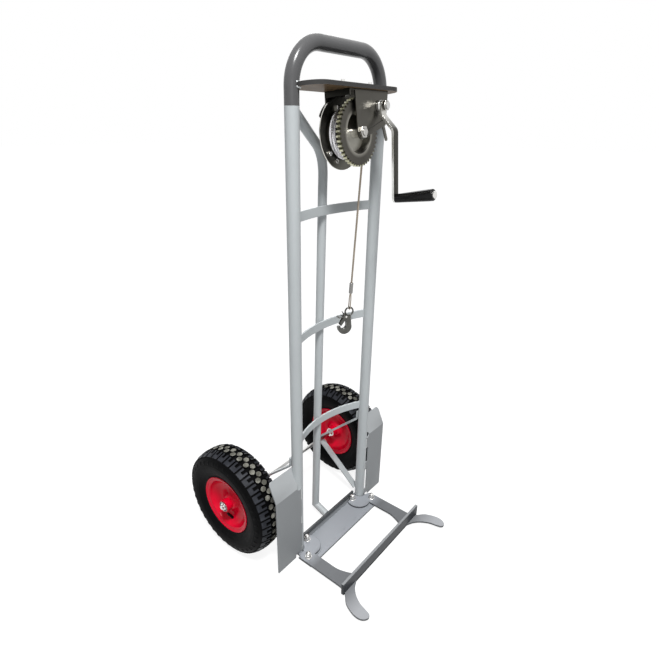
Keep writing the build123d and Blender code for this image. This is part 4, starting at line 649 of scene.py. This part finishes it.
class Shape:
    """Points and faces of one piece, collected before its mesh is made."""

    def __init__(self):
        self.points = []
        self.faces = []
        self.finish = []
        self.smooth = []

    def skin(self, rings, wrapped=False, smooth=True):
        """Quads between rings of points; the last ring meets the first, or both ends are closed."""
        start = len(self.points)
        count = len(rings[0])
        faces = []
        for row in range(len(rings) if wrapped else len(rings) - 1):
            low = row * count
            high = (row + 1) % len(rings) * count
            for index in range(count):
                beside = (index + 1) % count
                faces.append((low + index, low + beside, high + beside, high + index))
        if not wrapped:
            faces.append(range(count))
            faces.append(range((len(rings) - 1) * count, len(rings) * count))
        self.points += [point for ring in rings for point in ring]
        self.faces += [[start + index for index in face] for face in faces]
        self.finish += [0] * len(faces)
        self.smooth += [smooth] * len(faces)

    def piece(self, name, materials, body=None, crease=SHARP_DEGREES):
        """Makes the object, which takes its finish from a slot and rides on a body."""
        mesh = bpy.data.meshes.new(name)
        mesh.from_pydata(self.points, [], self.faces)
        mesh.polygons.foreach_set("material_index", self.finish)
        mesh.polygons.foreach_set("use_smooth", self.smooth)
        work = bmesh.new()
        work.from_mesh(mesh)
        bmesh.ops.recalc_face_normals(work, faces=work.faces)
        work.to_mesh(mesh)
        work.free()
        mesh.set_sharp_from_angle(angle=math.radians(crease))
        for material in materials:
            mesh.materials.append(material)
        item = bpy.data.objects.new(name, mesh)
        bpy.context.scene.collection.objects.link(item)
        if body:
            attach(item, body)
        return item


def around(axis):
    """Two directions square to an axis."""
    side = axis.orthogonal().normalized()
    return side, axis.cross(side).normalized()


def swing(point, side, up, angle, radius):
    """A point at an angle and a radius round another."""
    return point + (side * math.cos(angle) + up * math.sin(angle)) * radius


def circle(centre, side, up, radii):
    """A ring of points round a centre, one for each radius."""
    turn = 2 * math.pi / len(radii)
    return [swing(centre, side, up, turn * step, radius) for step, radius in enumerate(radii)]


def mirrored(points):
    """The other half of an outline, from its end back to its start."""
    return [(-x, y) for x, y in reversed(points)]


def turned(shape, profile, centre, axis, segments=32):
    """A turned solid from (along, radius) pairs."""
    side, up = around(axis)
    rings = []
    for along, radius in profile:
        rings.append(circle(centre + axis * along * MM, side, up, [radius * MM] * segments))
    shape.skin(rings)


def wheel_ring(shape, loop, centre, segments):
    """A ring round the wheel's axle from a closed loop of (across, radius) pairs."""
    rings = []
    for step in range(segments):
        angle = 2 * math.pi * step / segments
        out = Vector((0.0, math.cos(angle), math.sin(angle)))
        rings.append([centre + (Vector((across, 0, 0)) + out * radius) * MM for across, radius in loop])
    shape.skin(rings, wrapped=True)


def smooth_curve(points, steps):
    """A smooth curve through points of a profile."""
    curve = []
    for index in range(len(points) - 1):
        before = Vector(points[max(index - 1, 0)])
        start = Vector(points[index])
        end = Vector(points[index + 1])
        after = Vector(points[min(index + 2, len(points) - 1)])
        slope = end - before
        bend = 2 * before - 5 * start + 4 * end - after
        twist = 3 * start - before - 3 * end + after
        for step in range(steps):
            t = step / steps
            curve.append(0.5 * (2 * start + slope * t + bend * t ** 2 + twist * t ** 3))
    curve.append(Vector(points[-1]))
    return curve


def stations(line):
    """Each point of a line with two directions square to it and its distance from the start."""
    made = []
    run = 0.0
    side = None
    for index, point in enumerate(line):
        along = (line[min(index + 1, len(line) - 1)] - line[max(index - 1, 0)]).normalized()
        if side is None:
            side = along.orthogonal()
        side = (side - along * side.dot(along)).normalized()
        if index:
            run += (point - line[index - 1]).length
        made.append((point, side, along.cross(side), run))
    return made


def rod(shape, line, radii, sides=8):
    """A round rod along a line, with one radius or a radius at each point, in metres."""
    rings = []
    for index, (point, side, up, run) in enumerate(stations(line)):
        radius = radii[index] if isinstance(radii, list) else radii
        rings.append(circle(point, side, up, [radius] * sides))
    shape.skin(rings)


def evenly(line, step):
    """The same line with its points about a step apart, in metres."""
    runs = [run for point, side, up, run in stations(line)]
    count = max(2, round(runs[-1] / step))
    made = []
    for index in range(count + 1):
        target = runs[-1] * index / count
        after = min(max(bisect.bisect_left(runs, target), 1), len(line) - 1)
        share = (target - runs[after - 1]) / max(runs[after] - runs[after - 1], TINY)
        made.append(line[after - 1].lerp(line[after], share))
    return made


def grown(outline, amount):
    """An outline moved outwards by an amount, or inwards where it is negative."""
    count = len(outline)
    area = 0.0
    for i in range(count):
        here = outline[i]
        beside = outline[(i + 1) % count]
        area += here[0] * beside[1] - beside[0] * here[1]
    sign = 1 if area > 0 else -1
    made = []
    for i in range(count):
        here = Vector(outline[i])
        before = (here - Vector(outline[i - 1])).normalized()
        after = (Vector(outline[(i + 1) % count]) - here).normalized()
        out = Vector((before.y + after.y, -before.x - after.x)) * sign
        made.append(here + out * amount / max(1 + before.dot(after), MITRE_LIMIT))
    return made


def soft_levels(start, end, edge):
    """The levels of a plate with soft edges, each with the inset of its outline."""
    return ((start, edge), (start + edge, 0.0), (end - edge, 0.0), (end, edge))


# Rope; lengths are in metres
STRANDS = 6
STRAND_CIRCLE = 1.62 * MM
STRAND_RADIUS = 0.88 * MM
STRAND_LAY = 30.0 * MM
STRAND_STEP = 1.6 * MM
STRAND_SIDES = 6
PATH_STEP = 5.0 * MM
TURN_POINTS = 16
TURN_GROWTH = 0.7


def spline_line(points):
    """Points read from a smooth spline on a rope's route."""
    data = bpy.data.curves.new("route", "CURVE")
    data.dimensions = "3D"
    spline = data.splines.new("NURBS")
    spline.points.add(len(points) - 1)
    for target, point in zip(spline.points, points):
        target.co = (*point, 1.0)
    spline.order_u = 3
    spline.use_endpoint_u = True
    spline.resolution_u = 12
    holder = bpy.data.objects.new("route", data)
    mesh = bpy.data.meshes.new_from_object(holder)
    line = [vertex.co.copy() for vertex in mesh.vertices]
    bpy.data.objects.remove(holder)
    bpy.data.curves.remove(data)
    bpy.data.meshes.remove(mesh)
    return line


def laid_rope(shape, line):
    """Strands laid round a core, along a line."""
    track = stations(evenly(line, STRAND_STEP))
    rod(shape, [point for point, side, up, run in track], STRAND_CIRCLE - STRAND_RADIUS / 2, STRAND_SIDES)
    for strand in range(STRANDS):
        path = []
        for point, side, up, run in track:
            angle = 2 * math.pi * (strand / STRANDS + run / STRAND_LAY)
            path.append(swing(point, side, up, angle, STRAND_CIRCLE))
        rod(shape, path, STRAND_RADIUS, STRAND_SIDES)


def rope_exit():
    """Where the hanging rope leaves the winding."""
    return lean(DRUM_X + WINDING_RADIUS, WINDING_END_Y, DRUM_Z - ROPE_DIAMETER)


def add_hoist_rope():
    """The hanging rope, from the winding down to the ferrule."""
    start = rope_exit()
    eye = place(*HOOK)
    end = eye + (start - eye).normalized() * FERRULE_RISE * MM
    line = spline_line([start, start.lerp(end, 0.5), end])
    shape = Shape()
    laid_rope(shape, line)
    rope = shape.piece("hoist_rope_strands", [HANGING_ROPE])
    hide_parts("hoist_rope")
    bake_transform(rope)
    evenly(line, PATH_STEP)


def add_winding():
    """The outer layer of rope on the drum; its route is a little wider, as the spline cuts inside it."""
    radius = WINDING_RADIUS / math.cos(math.pi / TURN_POINTS) ** TURN_GROWTH
    route = [rope_exit()]
    for index in range(int(WINDING_TURNS * TURN_POINTS) + 1):
        turn = index / TURN_POINTS
        angle = 2 * math.pi * turn
        x = DRUM_X + radius * math.cos(angle)
        z = DRUM_Z + radius * math.sin(angle)
        route.append(lean(x, WINDING_END_Y + WINDING_PITCH * turn, z))
    shape = Shape()
    laid_rope(shape, spline_line(route))
    winding = shape.piece("drum_rope_strands", [MATERIALS["rope_wire"]], "drum")
    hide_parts("rope_winding")


# Wheels; profiles are (across, radius) pairs of the right half
TYRE_HALF = [
    (0, 152.5),
    (8, 152.3),
    (20, 151.5),
    (31, 149.5),
    (39, 145),
    (44, 138),
    (46.5, 129),
    (47, 120),
    (45.5, 111),
    (41.5, 101),
    (36.5, 92),
    (33.5, 86),
    (31.5, 80),
    (30.5, 75),
]
TYRE_LINING = [(26, 75), (30, 95), (34, 110), (30, 128), (15, 138)]
TYRE_STEPS = 6
TYRE_SEGMENTS = 144
# Each rib's distance from the crown, height and width
SIDEWALL_RIBS = ((62.0, 0.7, 1.0), (80.0, 0.5, 1.4), (101.0, 1.1, 1.8))
TREAD_STEPS = 38
TREAD_HEIGHT = 5.4
TREAD_SHIFT = 5.0
CROWN_ROW = 6.2
CROWN_KNOB = (7.8, 8.8)
KNOB_BLUNT_DEGREES = 12.0
ROW_STAGGER = 0.25
# Lugs are outlines of (round, across) pairs on the unrolled tyre
LUG = [(-10.8, 17), (-3.6, 17), (-3.6, 30), (3.6, 30), (3.6, 17), (10.8, 17), (10.8, 43), (-10.8, 43)]
LUG_HEIGHTS = (5.2, 3.0)
SIDE_LUG = [(-5, 48), (5, 48), (4, 57), (-4, 57)]
SIDE_LUG_HEIGHTS = (1.1, 0.6)
# A block's outline grows by the first value at the second value's share of its height
BLOCK_RINGS = ((0.8, -0.2), (0.0, 0.78), (-0.9, 1.0))
RIM_HALF = [
    (0, 65.5),
    (14, 65.8),
    (16.5, 67.5),
    (19, 73),
    (21, 74),
    (30, 74.4),
    (31.8, 76),
    (33.6, 83.5),
    (34.6, 85.6),
    (36, 86),
    (37.2, 85),
    (36.8, 83.2),
    (35.2, 81.6),
    (34.2, 79),
    (33.4, 75),
    (31.4, 72.4),
    (27, 70.6),
    (21.5, 67.4),
    (16, 62.5),
    (11.8, 56),
    (9.4, 48.5),
    (8.8, 41),
    (10, 34.5),
    (13, 29),
    (17, 25),
    (20.6, 22.4),
    (23, 19.8),
    (24, 17.2),
]
RIM_STEPS = 3
RIM_SEGMENTS = 128
# One leg of a split pin, as (aside, up) pairs
PIN_LEG = [(0.2, 15.5), (3.0, 13.4), (2.6, 9.8), (0.75, 7.2), (0.75, -7.6), (3.4, -10.4), (6.4, -11.2)]
PIN_STEPS = 5
PIN_WIRE = 1.3


def wheel_at(side):
    """A wheel's name, and its centre in the scene."""
    name = "left" if side < 0 else "right"
    return name, place(side * WHEEL_X, AXLE_Y, AXLE_Z)


def tyre_curve():
    """Right half of the tyre's outside, from the crown to the bead, with the distance along it."""
    beside = (-TYRE_HALF[1][0], TYRE_HALF[1][1])
    curve = smooth_curve([beside] + TYRE_HALF, TYRE_STEPS)[TYRE_STEPS:]
    runs = [0.0]
    for before, after in zip(curve, curve[1:]):
        runs.append(runs[-1] + (after - before).length)
    return curve, runs


TYRE_CURVE, TYRE_RUNS = tyre_curve()


def on_section(across, height):
    """A point of the tyre's section: a distance from the crown along it, and a height above it."""
    distance = min(abs(across), TYRE_RUNS[-1])
    after = min(max(bisect.bisect_left(TYRE_RUNS, distance), 1), len(TYRE_CURVE) - 1)
    start = TYRE_CURVE[after - 1]
    way = (TYRE_CURVE[after] - start).normalized()
    point = start + way * (distance - TYRE_RUNS[after - 1]) + Vector((-way.y, way.x)) * height
    return math.copysign(point.x, across), point.y


def on_tyre(centre, turn, across, height):
    """A point on the tyre at a turn of the wheel, in the scene."""
    x, radius = on_section(across, height)
    return centre + Vector((x, radius * math.cos(turn), radius * math.sin(turn))) * MM


def tread_block(shape, outline, centre, turn, heights, finish):
    """One raised block of the tread; its height changes across the tyre from first to last."""
    low = min(abs(v) for u, v in outline)
    high = max(abs(v) for u, v in outline)
    crown = TYRE_HALF[0][1]
    rings = []
    for growth, share in BLOCK_RINGS:
        ring = []
        for u, v in grown(outline, growth):
            along = min(max((abs(v) - low) / (high - low), 0.0), 1.0)
            height = heights[0] + (heights[1] - heights[0]) * along
            ring.append(on_tyre(centre, turn + u / crown, v, height * share))
        rings.append(ring)
    shape.skin(rings, smooth=False)
    shape.finish[-1] = finish


def knob_outline(row):
    """A hexagon with blunt corners on a crown row."""
    half_length, half_width = CROWN_KNOB
    outline = []
    for corner in range(6):
        for blunt in (-KNOB_BLUNT_DEGREES, KNOB_BLUNT_DEGREES):
            angle = math.radians(60 * corner + 30 + blunt)
            outline.append((half_length * math.cos(angle), row + half_width * math.sin(angle)))
    return outline


def add_tyre(side):
    """A block-tread tyre: two rows of worn crown knobs, forked shoulder lugs and small side lugs."""
    name, centre = wheel_at(side)
    shape = Shape()
    loop = []
    for run in TYRE_RUNS:
        rise = sum(height * math.exp(-((run - at) / width) ** 2) for at, height, width in SIDEWALL_RIBS)
        loop.append(on_section(run, rise))
    section = mirrored(loop[1:]) + loop + TYRE_LINING + mirrored(TYRE_LINING)
    wheel_ring(shape, section, centre, TYRE_SEGMENTS)
    pitch = 2 * math.pi / TREAD_STEPS
    inwards = -side * TREAD_SHIFT
    for index in range(TREAD_STEPS):
        for half in (-1, 1):
            turn = pitch * (index + ROW_STAGGER * half)
            knob = knob_outline(half * CROWN_ROW + inwards)
            tread_block(shape, knob, centre, turn, (TREAD_HEIGHT, TREAD_HEIGHT), 1)
            lug_turn = turn + pitch / 2
            lug = [(u, half * v + inwards) for u, v in LUG]
            tread_block(shape, lug, centre, lug_turn, LUG_HEIGHTS, 2)
            side_lug = [(u, half * v) for u, v in SIDE_LUG]
            tread_block(shape, side_lug, centre, lug_turn, SIDE_LUG_HEIGHTS, 0)
    finishes = [MATERIALS["tyre"], TREAD_TOP, LUG_TOP_SHEEN]
    tyre = shape.piece(name + "_tyre_tread", finishes, name + "_wheel")
    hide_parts(name + "_tyre")


def add_rim(side):
    """A pressed rim with a rolled lip and a dished disc."""
    name, centre = wheel_at(side)
    half = smooth_curve(RIM_HALF, RIM_STEPS)
    shape = Shape()
    wheel_ring(shape, half + mirrored(half[1:]), centre, RIM_SEGMENTS)
    rim = shape.piece(name + "_rim_pressed", [MATERIALS["rim_red"]], name + "_wheel")
    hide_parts(name + "_rim")


def add_split_pins():
    """Bent wire pins through the ends of the axle, each with an eye and two splayed legs."""
    shape = Shape()
    for side in (-1, 1):
        for leg in (-1, 1):
            route = [(leg * aside, up) for aside, up in PIN_LEG]
            curve = smooth_curve(route, PIN_STEPS)
            line = [place(side * PIN_X, AXLE_Y + y, AXLE_Z + z) for y, z in curve]
            rod(shape, line, PIN_WIRE / 2 * MM)
    pins = shape.piece("split_pin_wires", [MATERIALS["zinc"]], "frame")
    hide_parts("split_pins")


# Forks and guards; the horn and the flare are the right fork's, in plan
HORN = [
    (175, -165),
    (177, -181),
    (185, -195),
    (205, -214),
    (216, -238),
    (219, -257),
    (216, -270),
    (208, -279),
    (199, -281.5),
    (191, -276),
    (187, -262),
    (182, -242),
    (169, -220),
    (152, -204),
    (136, -196),
]
FLARE = [(121, -188), (121, -172), (127, -158), (134, -138), (136, -122), (136, -106)]
HORN_STEPS = 5
PAD_CENTRE = (126.0, -14.0)
PAD_RADIUS = 38.0
PAD_REAR = 4.5
PAD_STEPS = 28
CORNER_STEPS = 14
NOTCH_RADIUS = 16.5
FORK_REAR = -20.0
FORK_CORNER = 14.0
FORK_BOTTOM = 6.0
FORK_EDGE = 0.8
TOE_BAR_FRONT = -194.0
TOE_BAR_BACK = -186.0
TOE_BAR_TOP = 45.5
TOE_BAR_BOTTOM = 7.0
TOE_BAR_END = 190.0
TOE_BAR_CORNER = 3.0
TOE_BAR_NOTCH = (119.0, 186.0)
TOE_BAR_EDGE = 0.8
GUARD_FRONT = -15.0
GUARD_THICKNESS = 3.0
SLIT_WIDTH = 15.0
SLIT_CLEARANCE = 0.2
SLITS = ((33.0, 112.0), (141.0, 197.0))


def arc(centre, radius, start, end, steps):
    """Points on an arc in plan, with its angles in radians."""
    made = []
    for step in range(steps + 1):
        angle = start + (end - start) * step / steps
        made.append((centre[0] + radius * math.cos(angle), centre[1] + radius * math.sin(angle)))
    return made


def fork_outline():
    """The right fork in plan: an arm, a horn that sweeps outwards, and a pad notched round the tube."""
    outer, inner = HORN[0][0], HORN[-1][0]
    corner = (outer - FORK_CORNER, FORK_REAR - FORK_CORNER)
    pad_front = -math.acos((inner - PAD_CENTRE[0]) / PAD_RADIUS)
    pad_rear = -math.pi - math.asin((PAD_REAR - PAD_CENTRE[1]) / PAD_RADIUS)
    notch = math.pi - math.asin(PAD_REAR / NOTCH_RADIUS)
    outline = arc(corner, FORK_CORNER, math.pi / 2, 0.0, CORNER_STEPS)
    outline += smooth_curve(HORN, HORN_STEPS)
    outline += smooth_curve(FLARE, HORN_STEPS)
    outline += arc(PAD_CENTRE, PAD_RADIUS, pad_front, pad_rear, PAD_STEPS)
    outline += arc((TUBE_X, 0.0), NOTCH_RADIUS, notch, math.pi * 1.5, CORNER_STEPS)
    outline.append((TUBE_X, FORK_REAR))
    return outline


def add_fork(side):
    """A toe plate with soft edges."""
    name = "left_fork" if side < 0 else "right_fork"
    outline = fork_outline()
    levels = soft_levels(FORK_BOTTOM, FORK_Z, FORK_EDGE)
    shape = Shape()
    shape.skin([[place(side * x, y, z) for x, y in grown(outline, -inset)] for z, inset in levels])
    plate = shape.piece(name + "_plate", [TOE_PAINT], "frame")
    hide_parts(name)


def add_toe_bar():
    """The bar on edge across the forks, notched where it crosses their plates."""
    near, far = TOE_BAR_NOTCH
    half = [
        (near, TOE_BAR_BOTTOM),
        (near, FORK_Z),
        (far, FORK_Z),
        (far, TOE_BAR_BOTTOM),
        (TOE_BAR_END - TOE_BAR_CORNER, TOE_BAR_BOTTOM),
        (TOE_BAR_END, TOE_BAR_BOTTOM + TOE_BAR_CORNER),
        (TOE_BAR_END, TOE_BAR_TOP),
    ]
    outline = half + mirrored(half)
    levels = soft_levels(TOE_BAR_FRONT, TOE_BAR_BACK, TOE_BAR_EDGE)
    shape = Shape()
    shape.skin([[place(x, y, z) for x, z in grown(outline, -inset)] for y, inset in levels])
    bar = shape.piece("fork_crossbar_notched", [BAR_PAINT], "frame")
    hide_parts("fork_crossbar")


def add_guard_infill():
    """Painted strips that close the left guard's slits; the right guard's stay open."""
    shape = Shape()
    for low, high in SLITS:
        rings = []
        for y in (GUARD_FRONT, GUARD_FRONT + GUARD_THICKNESS / 2):
            near = TUBE_X + math.sqrt(max(TUBE_RADIUS ** 2 - y ** 2, 0.0)) + SLIT_CLEARANCE
            far = TUBE_X + SLIT_WIDTH
            corners = ((near, low), (far, low), (far, high), (near, high))
            rings.append([place(-x, y, z) for x, z in corners])
        shape.skin(rings, smooth=False)
    shape.piece("left_guard_infill", [MATERIALS["guard_grey"]], "frame")


# Fasteners and welds; profiles are (along, radius) pairs
NUT_FLANGE = [(0.0, 9.6), (0.4, 10.0), (1.4, 10.0), (2.0, 9.2)]
NUT_BODY = ((1.8, 9.3), (8.6, 9.3), (9.6, 8.5), (10.0, 7.8))
NUT_DOME = [(9.9, 7.4), (12.0, 7.35), (14.0, 6.8), (15.8, 5.7), (17.2, 4.3), (18.1, 2.6), (18.5, 0.8)]
NUT_FLATS = 16.0
NUT_SEGMENTS = 48
NUT_SHARP_DEGREES = 30
BEAD_STEP = 0.9
BEAD_END = 0.45
BEAD_TAPER = 0.25
RIPPLE_HEIGHT = 0.16
RIPPLE_RADIANS = 1.9
GUARD_BEAD = 2.0
GUARD_BEAD_SHIFT = 1.0
BAR_BEAD = 1.8
BAR_BEAD_SHIFT = 1.4
SHELF_BEAD = 2.4
SHELF_BEAD_SHIFT = 0.4
SHELF_BEAD_DEGREES = 100
SHELF_BEAD_STEP_DEGREES = 10


def hexagon_ring(centre, axis, along, limit):
    """A ring of a hexagon nut, cut back to a circle where its corners are chamfered."""
    side, up = around(axis)
    radii = []
    for step in range(NUT_SEGMENTS):
        angle = 2 * math.pi * step / NUT_SEGMENTS
        corner = angle % (math.pi / 3) - math.pi / 6
        radii.append(min(NUT_FLATS / 2 / math.cos(corner), limit) * MM)
    return circle(centre + axis * along * MM, side, up, radii)


def add_cap_nuts():
    """Flanged cap nuts on the fork bolts."""
    shape = Shape()
    up = Vector(UP)
    for x, y in BOLT_PLACES:
        foot = place(x, y, FORK_Z)
        turned(shape, NUT_FLANGE, foot, up)
        shape.skin([hexagon_ring(foot, up, along, limit) for along, limit in NUT_BODY])
        turned(shape, NUT_DOME, foot, up)
    nuts = shape.piece("fork_cap_nuts", [MATERIALS["zinc"]], "frame", NUT_SHARP_DEGREES)
    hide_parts("fork_nuts")


def bead(shape, line, radius):
    """A weld bead with its ripples along a line."""
    fine = evenly(line, BEAD_STEP * MM)
    count = len(fine)
    radii = []
    for index in range(count):
        ends = min(1.0, BEAD_END + BEAD_TAPER * min(index, count - 1 - index))
        radii.append(radius * MM * ends * (1 + RIPPLE_HEIGHT * math.sin(RIPPLE_RADIANS * index)))
    rod(shape, fine, radii)


def guard_beads(shape, side):
    """Beads along the guard's tabs, on the front of a side tube."""
    x = side * (TUBE_X + GUARD_BEAD_SHIFT)
    for low, high in GUARD_TABS:
        bead(shape, [place(x, -TUBE_RADIUS, low), place(x, -TUBE_RADIUS, high)], GUARD_BEAD)


def bar_beads(shape, side):
    """Beads on both faces of each crossbar, where it meets a side tube."""
    reach = TUBE_X - math.sqrt(TUBE_RADIUS ** 2 - BAR_END_Y ** 2)
    for level in BAR_LEVELS:
        for face in (-1, 1):
            x = side * (reach + face * BAR_BEAD_SHIFT)
            y = BAR_END_Y + face * BAR_HALF_THICKNESS
            ends = [place(x, y, level - BAR_HALF_HEIGHT), place(x, y, level + BAR_HALF_HEIGHT)]
            bead(shape, ends, BAR_BEAD)


def shelf_beads(shape, side):
    """Beads round the handle's leg, under the shelf and on it."""
    radius = TUBE_RADIUS + SHELF_BEAD_SHIFT
    bend = []
    for angle in range(-SHELF_BEAD_DEGREES, SHELF_BEAD_DEGREES + 1, SHELF_BEAD_STEP_DEGREES):
        turn = math.radians(angle)
        bend.append((side * (TUBE_X - radius * math.cos(turn)), radius * math.sin(turn)))
    for level in (SHELF_Z, SHELF_TOP_Z):
        bead(shape, [lean(x, y, level) for x, y in bend], SHELF_BEAD)


def add_welds():
    """Weld beads where the guards, bars and shelf meet the tubes."""
    shape = Shape()
    for side in (-1, 1):
        guard_beads(shape, side)
        bar_beads(shape, side)
        shelf_beads(shape, side)
    shape.piece("weld_beads", [WELD], "frame")


# Camera, light and floor; lamps and floor are in metres
CAMERA_PLACE = (-904.4, -703.1, 1121.9)
CAMERA_YAW = math.radians(-50.15)
CAMERA_PITCH = math.radians(-24.67)
CAMERA_ROLL = math.radians(0.43)
CAMERA_SENSOR = 36.0
CAMERA_LENS = 26.38
CAMERA_SHIFT = (0.0152, 0.0273)
# Each lamp's name, place, target, size and power
LAMPS = (
    ("key", (-1.1, -1.15, 3.5), (0, 0, 0.8), (0.7, 0.7), 104),
    ("front", (-1.9, -1.9, 1.2), (0, 0, 0.4), (1.6, 1.2), 5),
    ("back", (1.5, 1.9, 2.4), (0, 0, 0.6), (1.6, 1.6), 18),
)
WHITE = (1.0, 1.0, 1.0, 1.0)
SKY = (0.93, 0.96, 1.0, 1.0)
SKY_STRENGTH = 0.20
FLOOR_SIZE = 30.0
FLOOR_DROP = 0.0005
FLOOR_SHADE = (0.30, 0.30, 0.30, 1.0)
FLOOR_BOUNCE = (0.50, 0.50, 0.50, 1.0)
FLOOR_NEAR = 1.2
FLOOR_FAR = 5.0
FLOOR_GLOW = (0.88, 0.96)


def add_camera():
    """The photograph's own viewpoint."""
    right = Vector((math.cos(CAMERA_YAW), math.sin(CAMERA_YAW), 0.0))
    level = Vector((-math.sin(CAMERA_YAW), math.cos(CAMERA_YAW), 0.0))
    forward = level * math.cos(CAMERA_PITCH) + Vector(UP) * math.sin(CAMERA_PITCH)
    up = right.cross(forward)
    turned_right = math.cos(CAMERA_ROLL) * right + math.sin(CAMERA_ROLL) * up
    turned_up = math.cos(CAMERA_ROLL) * up - math.sin(CAMERA_ROLL) * right
    data = bpy.data.cameras.new("camera")
    data.sensor_width = CAMERA_SENSOR
    data.lens = CAMERA_LENS
    data.shift_x, data.shift_y = CAMERA_SHIFT
    camera = bpy.data.objects.new("camera", data)
    axes = Matrix((turned_right, turned_up, -forward)).transposed().to_4x4()
    camera.matrix_world = Matrix.Translation(place(*CAMERA_PLACE)) @ axes
    bpy.context.scene.collection.objects.link(camera)
    bpy.context.scene.camera = camera


def add_lamp(name, spot, target, size, power):
    """A soft lamp that looks at its target."""
    data = bpy.data.lights.new(name, "AREA")
    data.shape = "RECTANGLE"
    data.size, data.size_y = size
    data.energy = power
    lamp = bpy.data.objects.new(name, data)
    lamp.location = spot
    aim = Vector(target) - Vector(spot)
    lamp.rotation_euler = aim.to_track_quat("-Z", "Y").to_euler()
    bpy.context.scene.collection.objects.link(lamp)


def camera_mix(tree, seen, lighting):
    """Joins two shaders: one for what the camera, reflections and glass see, one for lighting."""
    path = node(tree, "ShaderNodeLightPath")
    total = node(tree, "ShaderNodeMath", operation="ADD", use_clamp=True)
    both = node(tree, "ShaderNodeMath", operation="ADD", use_clamp=True)
    tree.links.new(path.outputs["Is Camera Ray"], total.inputs[0])
    tree.links.new(path.outputs["Is Glossy Ray"], total.inputs[1])
    tree.links.new(total.outputs[0], both.inputs[0])
    tree.links.new(path.outputs["Is Transmission Ray"], both.inputs[1])
    made = node(tree, "ShaderNodeMixShader")
    tree.links.new(both.outputs[0], made.inputs[0])
    tree.links.new(lighting, made.inputs[1])
    tree.links.new(seen, made.inputs[2])
    return made.outputs[0]


def add_world():
    """A white background over a weak even light."""
    world = bpy.data.worlds.new("studio")
    world.use_nodes = True
    tree = world.node_tree
    lighting = tree.nodes["Background"]
    lighting.inputs["Color"].default_value = SKY
    lighting.inputs["Strength"].default_value = SKY_STRENGTH
    seen = node(tree, "ShaderNodeBackground")
    seen.inputs["Color"].default_value = WHITE
    seen.inputs["Strength"].default_value = 1.0
    out = tree.nodes["World Output"]
    tree.links.new(camera_mix(tree, seen.outputs[0], lighting.outputs[0]), out.inputs["Surface"])
    bpy.context.scene.world = world


def floor_material():
    """Pale where it is seen, with room for a soft shadow, and a plain grey where it only lights."""
    material, tree, shader = new_material("floor")
    tree.nodes.remove(shader)
    matt = node(tree, "ShaderNodeBsdfDiffuse")
    matt.inputs["Color"].default_value = FLOOR_SHADE
    glow = node(tree, "ShaderNodeEmission")
    glow.inputs["Color"].default_value = WHITE
    distance = from_axis(tree, (0.0, 0.0, 0.0), UP)
    brighter = spread(tree, mask(tree, distance, FLOOR_NEAR, FLOOR_FAR), *FLOOR_GLOW)
    tree.links.new(brighter, glow.inputs["Strength"])
    both = node(tree, "ShaderNodeAddShader")
    tree.links.new(matt.outputs[0], both.inputs[0])
    tree.links.new(glow.outputs[0], both.inputs[1])
    plain = node(tree, "ShaderNodeBsdfDiffuse")
    plain.inputs["Color"].default_value = FLOOR_BOUNCE
    out = tree.nodes["Material Output"]
    tree.links.new(camera_mix(tree, both.outputs[0], plain.outputs[0]), out.inputs["Surface"])
    return material


def add_floor():
    """A pale floor that keeps a soft shadow."""
    corners = [(x * FLOOR_SIZE, y * FLOOR_SIZE, 0) for x, y in ((-1, -1), (1, -1), (1, 1), (-1, 1))]
    mesh = bpy.data.meshes.new("floor")
    mesh.from_pydata(corners, [], [(0, 1, 2, 3)])
    mesh.materials.append(floor_material())
    floor = bpy.data.objects.new("floor", mesh)
    floor.location.z = -FLOOR_DROP
    bpy.context.scene.collection.objects.link(floor)


def add_studio():
    """The background, the floor and the lamps."""
    add_world()
    add_floor()
    for lamp in LAMPS:
        add_lamp(*lamp)
    bpy.context.scene.view_settings.view_transform = "Standard"


def main():
    """Builds the camera and the rope first, then the looks."""
    add_camera()
    add_hoist_rope()
    add_winding()
    dress_nodes()
    for side in (-1, 1):
        add_tyre(side)
        add_rim(side)
        add_fork(side)
    add_toe_bar()
    add_guard_infill()
    add_split_pins()
    add_cap_nuts()
    add_welds()
    add_studio()


main()
